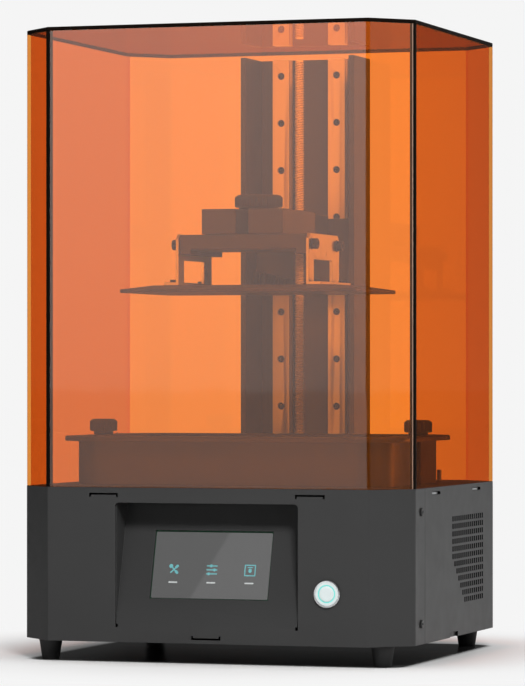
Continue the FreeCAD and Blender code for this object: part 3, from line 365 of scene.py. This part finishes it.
def skin(shape, loops, side_material=0, end_material=0, hollow=False):
    """Faces between stacked closed loops. A solid gets two end faces; a hollow ring joins up with itself."""
    following = loops[1:] + loops[:1] if hollow else loops[1:]
    for below, above in zip(loops, following):
        for i in range(len(below)):
            j = (i + 1) % len(below)
            shape.faces.new((below[i], below[j], above[j], above[i])).material_index = side_material
    if not hollow:
        for end in (loops[0][::-1], loops[-1]):
            shape.faces.new(end).material_index = end_material


def ring_loops(shape, rings, count, where):
    """Vertices of (radius at angle, height) rings about the Z axis of a place."""
    loops = []
    for radius_at, height in rings:
        loop = []
        for i in range(count):
            angle = 2 * math.pi * i / count
            radius = radius_at(angle)
            spot = Vector((radius * math.cos(angle), radius * math.sin(angle), height))
            loop.append(shape.verts.new(where @ spot))
        loops.append(loop)
    return loops


def turned(shape, rings, count, where):
    """Solid skinned over a stack of rings, which may be round, six-sided or knurled; closed at both ends."""
    skin(shape, ring_loops(shape, rings, count, where))


def tube(shape, rings, count, where, material=0):
    """Like turned, but the last ring joins the first, so the middle stays open."""
    skin(shape, ring_loops(shape, rings, count, where), material, hollow=True)


def slab(shape, outline, low, high, where, material=0, edge=0.0):
    """A flat shape between two heights, with its upper and lower rims drawn in by a small edge."""
    centre = sum((Vector(p) for p in outline), Vector((0, 0))) / len(outline)
    if edge:
        levels = [(low, edge), (low + edge, 0.0), (high - edge, 0.0), (high, edge)]
    else:
        levels = [(low, 0.0), (high, 0.0)]
    loops = []
    for height, pull in levels:
        loop = []
        for point in outline:
            arm = Vector(point) - centre
            spot = centre + arm * (1 - pull / arm.length)
            loop.append(shape.verts.new(where @ Vector((*spot, height))))
        loops.append(loop)
    skin(shape, loops, material, material)


def rounded_box(length, breadth, radius, centre=(0.0, 0.0), steps=6):
    """Outline of a rectangle with rounded corners."""
    points = []
    for quarter, (su, sv) in enumerate(((1, 1), (-1, 1), (-1, -1), (1, -1))):
        for step in range(steps + 1):
            angle = (quarter + step / steps) * math.pi / 2
            points.append((centre[0] + su * (length / 2 - radius) + radius * math.cos(angle),
                           centre[1] + sv * (breadth / 2 - radius) + radius * math.sin(angle)))
    return points


def facing(origin, normal, up=(0, 0, 1)):
    """A place whose Z axis is the normal and whose Y axis is nearest to up."""
    z = Vector(normal).normalized()
    y = (Vector(up) - z * Vector(up).dot(z)).normalized()
    x = y.cross(z)
    return Matrix.Translation(origin) @ Matrix((x, y, z)).transposed().to_4x4()


# ---------------------------------------------------------------- tinted hood
def octagon_corners(half_x, half_y, leg):
    """Front edge first, then anticlockwise seen from above."""
    return [Vector(p) for p in (
        (-half_x + leg, -half_y), (half_x - leg, -half_y), (half_x, -half_y + leg), (half_x, half_y - leg),
        (half_x - leg, half_y), (-half_x + leg, half_y), (-half_x, half_y - leg), (-half_x, -half_y + leg))]


def bend_points(before, corner, after, radius, steps=8):
    """An arc of the given radius in place of a corner."""
    first, last = (before - corner).normalized(), (after - corner).normalized()
    half = first.angle(last) / 2
    centre = corner + (first + last).normalized() * radius / math.sin(half)
    start = corner + first * radius / math.tan(half)
    end = corner + last * radius / math.tan(half)
    points = []
    for step in range(steps + 1):
        share = step / steps
        mixed = (start - centre).lerp(end - centre, share).normalized() * radius
        points.append(centre + mixed)
    return points


def wall_profile(corners, inset_corners, radius, thickness, bond):
    """Outer and inner plan lines of a wall with one bend, with two short strips at each mitred end."""
    second = bond * 1.3
    lines = []
    for (a, b, c), bend in ((corners, radius), (inset_corners, radius - thickness)):
        ahead, back = (b - a).normalized(), (b - c).normalized()
        starts = [a, a + ahead * bond, a + ahead * second]
        ends = [c + back * second, c + back * bond, c]
        lines.append(starts + bend_points(a, b, c, bend) + ends)
    return lines


HOOD_MATERIALS = [MATERIALS["tinted_acrylic"], BONDED_EDGE, PAINTED_EDGE_HIGHLIGHT]
CLEAR, BONDED, PAINTED_HIGHLIGHT = range(3)
ACRYLIC_BEND = 6 * MM
MITRE = 2 - math.sqrt(2)


def hood_wall(name, outside, inside, levels, strips):
    """One bent wall. levels gives (height, share drawn in); strips gives the material of its end strips."""
    shape = bmesh.new()
    last = len(outside) - 1
    rings = []
    for level, pull in levels:
        ring = []
        for line, other in ((outside, inside), (inside, outside)):
            ring.append([shape.verts.new((*(p.lerp(q, pull)), level)) for p, q in zip(line, other)])
        rings.append(ring)
    for below, above in zip(rings, rings[1:]):
        for side in (0, 1):
            for i in range(last):
                face = shape.faces.new((below[side][i], below[side][i + 1], above[side][i + 1],
                                        above[side][i]))
                face.material_index = strips.get(i, CLEAR)
        for i, strip in ((0, 0), (last, last - 1)):
            face = shape.faces.new((below[0][i], above[0][i], above[1][i], below[1][i]))
            face.material_index = strips[strip]
    for ring, material in ((rings[0], CLEAR), (rings[-1], BONDED)):
        for i in range(last):
            face = shape.faces.new((ring[0][i], ring[0][i + 1], ring[1][i + 1], ring[1][i]))
            face.material_index = material
    piece(f"hood_{name}_sheet", shape, "hood", HOOD_MATERIALS, [f"hood_{name}"], 40)


def hood_roof(low, high, half_x, half_y, leg):
    """Top sheet: bent corners rounded, glued corners sharp, with fine chamfers above and below."""
    shape = bmesh.new()
    edge = 0.4 * MM
    loops = []
    for inset, level in ((edge, low), (0.0, low + edge), (0.0, high - edge), (edge, high)):
        plan = octagon_corners(half_x - inset, half_y - inset, leg - inset * MITRE)
        rounded = []
        for i, corner in enumerate(plan):
            if i % 2:
                rounded += bend_points(plan[i - 1], corner, plan[(i + 1) % 8], ACRYLIC_BEND, 6)
            else:
                rounded.append(corner)
        loops.append([shape.verts.new((*point, level)) for point in rounded])
    skin(shape, loops, BONDED, CLEAR)
    piece("hood_roof_sheet", shape, "hood", HOOD_MATERIALS, ["hood_top"], 40)


def hood():
    """Four walls with one bend each, mitred and glued at the other corners, under a flat top sheet."""
    roof_low, roof_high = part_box("hood_top")
    front_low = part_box("hood_front")[0]
    half_x, half_y = roof_high.x, roof_high.y
    leg = half_x + front_low.x
    thickness = roof_high.z - roof_low.z
    outer = octagon_corners(half_x, half_y, leg)
    inner = octagon_corners(half_x - thickness, half_y - thickness, leg - thickness * MITRE)
    bond, chamfer = 2.3 * MM, 0.35 * MM
    low, high = front_low.z, roof_low.z
    levels = ((low, chamfer / thickness), (low + chamfer, 0.0), (high, 0.0))
    dark_corners = {0, 2}
    for name, picks in (("front", (0, 1, 2)), ("right", (2, 3, 4)), ("rear", (4, 5, 6)), ("left", (6, 7, 0))):
        outside, inside = wall_profile([outer[i] for i in picks], [inner[i] for i in picks], ACRYLIC_BEND,
                                       thickness, bond)
        last = len(outside) - 1
        strips = {strip: BONDED if corner in dark_corners else CLEAR
                  for strip, corner in ((0, picks[0]), (last - 1, picks[2]))}
        # The front wall gets the painted highlight strip beside its right-hand glued corner.
        if name == "front":
            strips[last - 2] = PAINTED_HIGHLIGHT
        hood_wall(name, outside, inside, levels, strips)
    hood_roof(roof_low.z, roof_high.z, half_x, half_y, leg)


# ---------------------------------------------------------------- screws, knobs and lead screw
def socket_screw(shape, where, head, height, key, shank, length):
    """Cap screw standing on a place: the head rises from it along Z, the shank goes down."""
    lip = 0.12 * head
    rings = [(circle(shank * 0.75), -length), (circle(shank), -length + shank * 0.3)]
    rings += [(circle(shank), 0.0), (circle(head - lip), 0.0), (circle(head), lip * 0.6)]
    rings += [(circle(head), height - lip), (circle(head - lip * 0.35), height - lip * 0.3)]
    rings += [(circle(head - lip * 1.1), height), (circle(key * 0.62), height)]
    rings += [(hexagon(key), height - 0.1 * MM), (hexagon(key), height * 0.45)]
    turned(shape, rings, 36, where)


def screw_group(name, node, axis, sides, head, height, key, shank):
    """One cap screw for each solid of a screw node. sides says which way each head points."""
    shape = bmesh.new()
    for low, high in solids(node):
        centre = (low + high) / 2
        sign = sides(centre)
        normal = Vector((0, 0, 0))
        normal[axis] = sign
        seat = centre.copy()
        seat[axis] = (high if sign > 0 else low)[axis] - sign * height
        length = (high - low)[axis] - height
        up = (0, 1, 0) if axis == 2 else (0, 0, 1)
        socket_screw(shape, facing(seat, normal, up), head, height, key, shank, length)
    slot = SLOTS[node]
    piece(name, shape, BODIES[node], [MATERIALS[slot]], [node], 40)


def screws():
    """Head radius, head height, key size and shank radius of each kind, in millimetres."""
    def outward(centre):
        return 1 if centre.x > 0 else -1

    for name, node, axis, sides, sizes in (
            ("panel_cap_screws", "panel_screws", 0, outward, (3.3, 1.6, 2.2, 1.5)),
            ("clamp_cap_screws", "clamp_screws", 0, outward, (4.25, 5.0, 4.0, 2.5)),
            ("rail_cap_screws", "rail_screws", 1, lambda centre: -1, (2.9, 3.2, 2.5, 1.7)),
            ("bracket_cap_screws", "bracket_screws", 2, lambda centre: 1, (3.0, 2.2, 2.0, 1.5))):
        screw_group(name, node, axis, sides, *(size * MM for size in sizes))


def knob(node, name, body, collar, stud, teeth):
    """Knurled thumb knob with a dished top, a collar and a threaded stud."""
    low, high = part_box(node)
    centre = (low + high) / 2
    radius, top = (high.x - low.x) / 2, high.z
    head_low = top - 10 * MM
    seat = head_low - collar
    neck = radius - 3.3 * MM
    groove, pitch = 0.35 * MM, 0.8 * MM
    root = stud - groove
    rings = [(circle(stud * 0.7), low.z)]
    rings += thread(stud, groove, pitch, low.z + pitch, seat - 1.0 * MM)
    rings += [(circle(root), seat - 0.7 * MM), (circle(root), seat)]
    rings += [(circle(neck - 0.3 * MM), seat), (circle(neck), seat + 0.3 * MM), (circle(neck), head_low)]
    grip, worn_rim = knurl(radius, 0.55 * MM, teeth), 0.1 * MM
    rings += [(circle(radius - 1.0 * MM), head_low)]
    rings += [(knurl(radius - 0.35 * MM, worn_rim, teeth), head_low + 0.35 * MM)]
    rings += [(grip, head_low + 0.9 * MM), (grip, top - 2.0 * MM)]
    rings += [(knurl(radius - 0.9 * MM, worn_rim, teeth), top - 1.25 * MM)]
    rings += [(circle(radius - 2.2 * MM), top - 0.15 * MM), (circle(radius - 2.6 * MM), top)]
    rings += [(circle(radius - 3.6 * MM), top), (circle(radius - 4.1 * MM), top - 0.5 * MM)]
    shape = bmesh.new()
    turned(shape, rings, teeth * 4, Matrix.Translation((centre.x, centre.y, 0)))
    piece(name, shape, body, [MATERIALS["knob_black"]], [node], 38)


def knobs():
    """Two for the vat, and the larger one that clamps the build platform."""
    knob("left_vat_knob", "left_vat_knob_knurled", "vat_knob_left", 2.7 * MM, 2.5 * MM, 40)
    knob("right_vat_knob", "right_vat_knob_knurled", "vat_knob_right", 2.7 * MM, 2.5 * MM, 40)
    knob("platform_knob", "platform_knob_knurled", "clamp_knob", 2.4 * MM, 4.0 * MM, 56)


def lead_screw():
    """Two-start trapezoidal screw with a 2 mm pitch, so a lead of 4 mm."""
    low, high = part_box("lead_screw")
    centre, radius = (low + high) / 2, (high.x - low.x) / 2
    groove, edge, chamfer = 1.1 * MM, 1.0 * MM, 0.3 * MM
    root = radius - groove
    rings = [(circle(root - chamfer), low.z), (circle(root), low.z + chamfer)]
    rings += thread(radius, groove, 2.0 * MM, low.z + edge, high.z - edge, starts=2)
    rings += [(circle(root), high.z - chamfer), (circle(root - chamfer), high.z)]
    shape = bmesh.new()
    turned(shape, rings, 24, Matrix.Translation((centre.x, centre.y, 0)))
    piece("lead_screw_threaded", shape, "drive_screw", [THREAD_STEEL],
          ["lead_screw"], 50)


def feet():
    """Tapered rubber feet with a rounded sole, a dished underside and a spigot up into the tray."""
    shape = bmesh.new()
    for low, high in solids("rubber_feet"):
        centre = (low + high) / 2
        wide = (high.x - low.x) / 2
        sole = wide - 2.35 * MM
        shoulder = high.z - 2.0 * MM
        round_edge = 0.8 * MM
        rings = [(circle(sole - 3.0 * MM), low.z + 0.8 * MM), (circle(sole - 2.2 * MM), low.z)]
        for step in range(5):
            angle = step / 4 * math.pi / 2
            rings.append((circle(sole - round_edge + round_edge * math.sin(angle)),
                          low.z + round_edge * (1 - math.cos(angle))))
        rings += [(circle(wide - 0.25 * MM), shoulder - 1.6 * MM), (circle(wide), shoulder - 1.2 * MM)]
        rings += [(circle(wide), shoulder - 0.3 * MM), (circle(wide - 0.3 * MM), shoulder)]
        rings += [(circle(2.1 * MM), shoulder), (circle(2.1 * MM), high.z - 0.4 * MM),
                  (circle(1.6 * MM), high.z)]
        turned(shape, rings, 40, Matrix.Translation((centre.x, centre.y, 0)))
    piece("tapered_feet", shape, "base", [MATERIALS["foot_rubber"]], ["rubber_feet"], 40)


# ---------------------------------------------------------------- screen and button
ICON = glow("screen_icon.look", (0.13, 0.36, 0.38, 1), 0.75)
LABEL = glow("screen_label.look", (0.45, 0.47, 0.47, 1), 0.7)
SCREEN_TILT = 16
LIGHT_RING = glow("light_ring.look", (0.10, 0.42, 0.38, 1), 0.8)


def display_look():
    """Dimly lit display, with a painted reflection: a little brighter in a diagonal band towards one corner.
    """
    g = Graph("display.look")
    where = g.node("SeparateXYZ", {0: g.place()})
    grain = g.noise(g.place(), 2500.0, 1.0)
    # Painted reflection: the glow rises towards one corner, standing for a lighter reflection on the cover
    # glass.
    slope = g.math("ADD", where.outputs["X"], g.math("MULTIPLY", where.outputs["Z"], -0.55))
    painted_reflection = g.fit(slope, -0.045, -0.042)
    lit = g.blend(painted_reflection, grey(0.112), grey(0.15))
    lit = g.blend(g.math("MULTIPLY", grain, 0.12), lit, grey(0.14))
    return g.finish(g.node("BsdfPrincipled", {
        "Base Color": grey(0.02), "Roughness": 0.3, "Emission Color": lit,
        "Emission Strength": 1.0}).outputs[0])


def touch_screen():
    """Cover glass with rounded corners over a lit display that shows three plain pictograms."""
    low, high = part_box("screen_glass")
    tilt = math.radians(SCREEN_TILT)
    normal = Vector((0, -math.cos(tilt), math.sin(tilt)))
    size = high - low
    thick = 1.95 * MM
    length = (size.z - thick * math.sin(tilt)) / math.cos(tilt)
    front = (low + high) / 2 + normal * thick / 2
    place = facing(front, normal)
    glass_back, display_front = -0.8 * MM, -1.0 * MM
    shape = bmesh.new()
    slab(shape, rounded_box(size.x, length, 1.0 * MM), glass_back, 0.0, place, 0, 0.15 * MM)
    piece("screen_cover_glass", shape, "base", [SCREEN_COVER], ["screen_glass"], 40)
    shape = bmesh.new()
    inset = 0.8 * MM
    slab(shape, rounded_box(size.x - inset, length - inset, 0.8 * MM), -thick, display_front, place, 0)
    piece("display_panel", shape, "base", [display_look()], (), 40)

    shape = bmesh.new()
    row, columns = -3.6 * MM, (-31 * MM, 0.6 * MM, 32.2 * MM)
    floor_level, top = display_front, display_front + 0.12 * MM

    def bar(middle_u, middle_v, long, wide, turn=0.0, material=0):
        spin = Matrix.Rotation(turn, 4, "Z")
        spot = place @ Matrix.Translation((middle_u, middle_v, 0)) @ spin
        outline = rounded_box(long, wide, min(long, wide) * 0.45, steps=3)
        slab(shape, outline, floor_level, top, spot, material)

    def dot(middle_u, middle_v, radius):
        spot = place @ Matrix.Translation((middle_u, middle_v, 0))
        turned(shape, [(circle(radius), floor_level), (circle(radius), top)], 20, spot)

    tools, sliders, boxed = columns
    for sign in (-1, 1):
        slant, reach = sign * math.pi / 4, 3.1 * MM * 0.72
        bar(tools, row, 8.2 * MM, 1.0 * MM, slant)
        bar(tools + reach, row + sign * reach, 3.4 * MM, 2.1 * MM, slant)
    dot(tools - 2.6 * MM, row + 2.6 * MM, 1.6 * MM)
    for step, knob_u in ((1, -0.8), (0, 2.1), (-1, -2.4)):
        level = row + step * 3.2 * MM
        bar(sliders, level, 9.0 * MM, 0.9 * MM)
        dot(sliders + knob_u * MM, level, 1.15 * MM)
    half = 4.2 * MM
    for sign in (-1, 1):
        bar(boxed + sign * half, row, 9.2 * MM, 0.8 * MM, math.pi / 2)
        bar(boxed, row + sign * half, 9.2 * MM, 0.8 * MM)
    bar(boxed, row - 0.2 * MM, 2.6 * MM, 3.4 * MM)
    bar(boxed, row + 2.4 * MM, 4.4 * MM, 0.7 * MM)
    for column in columns:
        bar(column, row - 10.4 * MM, 7.4 * MM, 1.1 * MM, 0.0, 1)
    piece("screen_pictograms", shape, "base", [ICON, LABEL], (), 40)


def power_button():
    """Polished bezel, a lit ring inside it, and the lit cap that the finger presses."""
    low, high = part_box("button_bezel")
    cap_low, cap_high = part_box("button_cap")
    centre = (cap_low + cap_high) / 2
    place = facing(Vector((centre.x, low.y, centre.z)), (0, -1, 0))
    cap_radius = (cap_high.x - cap_low.x) / 2
    rim, proud, barrel = 11.0 * MM, 2.0 * MM, 9.4 * MM
    bore = cap_radius + 0.2 * MM
    lens_radius = 9.3 * MM
    deep = high.y - low.y
    nut, nut_back, nut_front = hexagon((high.x - low.x) * 0.866), -8.0 * MM, -4.0 * MM
    lens_floor = -1.2 * MM
    shape = bmesh.new()
    rings = [(circle(bore), -deep), (circle(barrel), -deep)]
    rings += [(circle(barrel), nut_back), (nut, nut_back), (nut, nut_front), (circle(barrel), nut_front)]
    rings += [(circle(barrel), -proud), (circle(rim), -proud), (circle(rim), lens_floor)]
    for step in range(1, 6):
        angle = step / 5 * math.pi / 2
        rings.append((circle(rim - 1.0 * MM * (1 - math.cos(angle))), lens_floor * (1 - math.sin(angle))))
    rings += [(circle(lens_radius + 0.15 * MM), 0.0), (circle(lens_radius), -0.15 * MM),
              (circle(lens_radius), lens_floor), (circle(bore), lens_floor)]
    tube(shape, rings, 72, place)
    piece("button_rim", shape, "base", [MATERIALS["button_metal"]], ["button_bezel"], 35)
    shape = bmesh.new()
    ring_low, seam = -1.15 * MM, bore + 0.9 * MM
    tube(shape, [(circle(seam), ring_low), (circle(lens_radius - 0.05 * MM), ring_low),
                 (circle(lens_radius - 0.05 * MM), -0.45 * MM), (circle(lens_radius - 0.3 * MM), -0.2 * MM),
                 (circle(seam + 0.2 * MM), -0.15 * MM), (circle(seam), -0.3 * MM)], 72, place)
    tube(shape, [(circle(bore), ring_low), (circle(seam), ring_low), (circle(seam), -0.35 * MM),
                 (circle(bore), -0.5 * MM)], 72, place, 1)
    piece("button_light_ring", shape, "base", [MATERIALS["button_white"], LIGHT_RING], (), 35)
    shape = bmesh.new()
    top = low.y - cap_low.y
    back = low.y - cap_high.y
    rings = [(circle(cap_radius - 0.3 * MM), back), (circle(cap_radius), back + 0.3 * MM),
             (circle(cap_radius), top - 0.5 * MM), (circle(cap_radius - 0.2 * MM), top - 0.15 * MM),
             (circle(cap_radius - 0.6 * MM), top), (circle(cap_radius * 0.5), top - 0.12 * MM),
             (circle(cap_radius * 0.15), top - 0.18 * MM)]
    turned(shape, rings, 60, place)
    piece("button_cap_lens", shape, "power_button", [MATERIALS["button_white"]],
          ["button_cap"], 35)


# ---------------------------------------------------------------- finished CAD shapes
# Width of the softened edges of each CAD shape, in millimetres.
EDGE_WIDTHS = {
    "front_panel": 0.35, "left_side_panel": 0.3, "right_side_panel": 0.3, "rear_panel": 0.3,
    "deck_plate": 0.3, "tower_channel": 0.6, "carriage_plate": 0.5, "cantilever_arm": 0.6,
    "mount_block": 0.5, "rail_blocks": 0.35, "left_rail": 0.25, "right_rail": 0.25,
    "plate_brackets": 0.3, "build_plate": 0.35, "vat_body": 0.4,
    "deck_brackets": 0.3, "bottom_tray": 0.3, "power_inlet": 0.5, "switch_rocker": 0.5,
    "usb_socket": 0.2, "rear_fan_frame": 0.4, "light_fan_frame": 0.4, "rear_fan_rotor": 0.3,
    "light_fan_rotor": 0.3, "z_motor": 0.6, "shaft_coupler": 0.5, "lead_nut": 0.4, "film_frame": 0.3,
    "z_limit_sensor": 0.4, "heat_sink": 0.25, "power_supply": 0.4, "light_shroud": 0.3, "hood_pegs": 0.4,
    "screen_module": 0.3,
}
# The axis across each painted panel.
PANEL_AXES = {"front_panel": 1, "rear_panel": 1, "left_side_panel": 0, "right_side_panel": 0}


def paint_slot_shade(thing, axis):
    """Paint shade on the walls of small cut-outs through a flat panel: a near-black material that stands for
    the shadow inside the slots.
    """
    longest, sheet = 26 * MM, 2 * MM
    outside = max((vertex.co[axis] for vertex in thing.data.vertices), key=abs)
    thing.data.materials.append(PAINTED_SLOT_SHADE)
    for face in thing.data.polygons:
        corners = [thing.data.vertices[i].co for i in face.vertices]
        reach = max((one - other).length for one in corners for other in corners)
        within = all(abs(corner[axis] - outside) < 1.05 * sheet for corner in corners)
        if within and abs(face.normal[axis]) < 0.1 and reach < longest:
            face.material_index = 1


def finished_shapes():
    """Soften the edges of the main CAD shapes, and paint shade into the cut-outs of the powder-coated panels.
    """
    for node, width in EDGE_WIDTHS.items():
        thing = refined(node, width * MM)
        if node in PANEL_AXES:
            paint_slot_shade(thing, PANEL_AXES[node])


def plain_nodes():
    """CAD nodes that stay as they are, with their full material."""
    for name, node in frame["nodes"].items():
        if not node.hide_render:
            node.data.materials.clear()
            node.data.materials.append(MATERIALS[SLOTS[name]])


# ---------------------------------------------------------------- studio
BACKDROP = 0.913


def floor_look():
    """Pale paper that opens into the even backdrop, with a patch of shade drawn under the body.

    Other rays than the camera's see a darker paper, and a bright card far in front.
    """
    g = Graph("floor.look")
    where = g.place()
    axes = g.node("SeparateXYZ", {0: where})
    distance = g.node("VectorMath", {0: where}, operation="LENGTH").outputs["Value"]
    direct = g.node("LightPath").outputs["Is Camera Ray"]
    indirect = g.math("SUBTRACT", 1.0, direct)

    aside, deep = (g.math("ABSOLUTE", axes.outputs[axis]) for axis in "XY")
    shade = g.math("MULTIPLY", g.fit(aside, 0.161, 0.153), g.fit(deep, 0.143, 0.136))
    shade = g.math("MULTIPLY", shade, g.fit(g.math("ADD", aside, deep), 0.290, 0.278))
    unshaded = g.math("SUBTRACT", 1.0, shade)

    near_paper = g.blend(direct, grey(0.45), grey(0.76))
    paper = g.blend(g.fit(distance, 1.2, 1.9), near_paper, grey(0.06))
    near = g.node("BsdfPrincipled", {"Base Color": g.blend(shade, paper, grey(0.05)), "Roughness": 0.22,
                                     "Specular IOR Level": 0.35}).outputs[0]
    even = g.node("Emission", {"Color": grey(BACKDROP), "Strength": 1.0}).outputs[0]
    far = g.math("MAXIMUM", g.fit(distance, 0.12, 0.36, smooth=True), 0.02)
    open_floor = g.math("MULTIPLY", g.math("MULTIPLY", far, unshaded), direct)
    seen = g.node("MixShader", {0: open_floor, 1: near, 2: even}).outputs[0]

    ahead = g.math("MULTIPLY", g.fit(axes.outputs["Y"], -1.6, -2.4), g.fit(axes.outputs["X"], 1.2, 0.4))
    card = g.node("Emission", {"Color": grey(1.0), "Strength": 1.4}).outputs[0]
    unseen = g.math("MULTIPLY", ahead, indirect)
    return g.finish(g.node("MixShader", {0: unseen, 1: seen, 2: card}).outputs[0])


def studio_floor():
    """A floor wide enough to reach the horizon in every view."""
    half_size = 40.0
    grid = bmesh.new()
    bmesh.ops.create_grid(grid, x_segments=1, y_segments=1, size=half_size)
    mesh = bpy.data.meshes.new("floor")
    grid.to_mesh(mesh)
    grid.free()
    mesh.materials.append(floor_look())
    floor = bpy.data.objects.new("floor", mesh)
    bpy.context.scene.collection.objects.link(floor)


def studio_world():
    """An even backdrop for the camera; soft light panels in the dark for all other rays."""
    world = bpy.data.worlds.new("studio")
    bpy.context.scene.world = world
    world.use_nodes = True
    tree = world.node_tree
    tree.nodes.clear()

    def add(kind, inputs=None, **settings):
        made = tree.nodes.new("ShaderNode" + kind)
        for key, value in settings.items():
            setattr(made, key, value)
        for key, value in (inputs or {}).items():
            if isinstance(value, bpy.types.NodeSocket):
                tree.links.new(value, made.inputs[key])
            else:
                made.inputs[key].default_value = value
        return made

    direction = add("TexCoord").outputs["Generated"]
    height = add("SeparateXYZ", {"Vector": direction}).outputs["Z"]
    rising = add("MapRange", {"Value": height, "From Min": -0.05, "From Max": 0.09, "To Min": 1.5,
                              "To Max": 2.7}).outputs[0]
    low_part = add("MapRange", {"Value": height, "From Min": 0.16, "From Max": 0.11}).outputs[0]
    front = add("Math", {0: rising, 1: low_part}, operation="MULTIPLY").outputs[0]
    rear = add("Math", {0: low_part, 1: 4.5}, operation="MULTIPLY").outputs[0]

    def softbox(towards, inner, outer, strength):
        """Full strength within the inner angle of its direction, fading out to the outer angle."""
        aim = Vector(towards).normalized()
        dot = add("VectorMath", {0: direction, 1: aim}, operation="DOT_PRODUCT").outputs["Value"]
        return add("MapRange", {"Value": dot, "From Min": math.cos(math.radians(outer)),
                                "From Max": math.cos(math.radians(inner)), "To Max": strength},
                   interpolation_type="SMOOTHSTEP").outputs[0]

    total = 0.05
    for box in (((-0.31, -0.95, 0.03), 7, 11, front), ((0.1, 0.1, 1.0), 25, 60, 0.35),
                ((0.95, -0.31, 0.1), 6, 22, 0.7), ((0.6, 0.8, 0.05), 4, 17, rear)):
        total = add("Math", {0: total, 1: softbox(*box)}, operation="ADD").outputs[0]
    lit = add("Background", {"Color": grey(1.0), "Strength": total}).outputs[0]
    seen = add("Background", {"Color": grey(BACKDROP), "Strength": 1.0}).outputs[0]
    camera_ray = add("LightPath").outputs["Is Camera Ray"]
    mixed = add("MixShader", {0: camera_ray, 1: lit, 2: seen}).outputs[0]
    add("OutputWorld", {"Surface": mixed})


def lamp(name, where, aim, size, watts):
    """Square area lamp that lights surfaces but isn't mirrored in them."""
    light = bpy.data.lights.new(name, "AREA")
    light.size = size
    light.energy = watts
    holder = bpy.data.objects.new(name, light)
    bpy.context.scene.collection.objects.link(holder)
    holder.location = where
    holder.rotation_euler = (Vector(aim) - Vector(where)).to_track_quat("-Z", "Y").to_euler()
    holder.visible_glossy = False


def studio():
    """Floor, backdrop and lamps."""
    bpy.context.scene.view_settings.view_transform = "Standard"
    studio_floor()
    studio_world()
    lamp("top_light", (0.0, -0.15, 2.2), (0, 0, 0.2), 0.3, 42)
    lamp("right_light", (1.3, 1.9, 0.75), (0.1, 0, 0.2), 0.6, 14)
    lamp("front_light", (1.15, -2.05, 1.9), (0, 0, 0.25), 0.6, 88)


def camera():
    """The viewpoint: a long lens from the right of straight ahead, level, with a small rise."""
    distance_x, distance_y, height = 1.011, 3.062, 0.2303
    turn = math.radians(18.296)
    lens = bpy.data.cameras.new("camera")
    lens.sensor_width = 36.0
    lens.lens = 206.8
    lens.shift_y = 0.040
    lens.clip_end = 100.0
    view = bpy.data.objects.new("camera", lens)
    view.location = (distance_x, -distance_y, height)
    view.rotation_euler = (math.pi / 2, 0.0, turn)
    bpy.context.scene.collection.objects.link(view)
    bpy.context.scene.camera = view


camera()
hood()
screws()
knobs()
lead_screw()
feet()
touch_screen()
power_button()
finished_shapes()
plain_nodes()
studio()
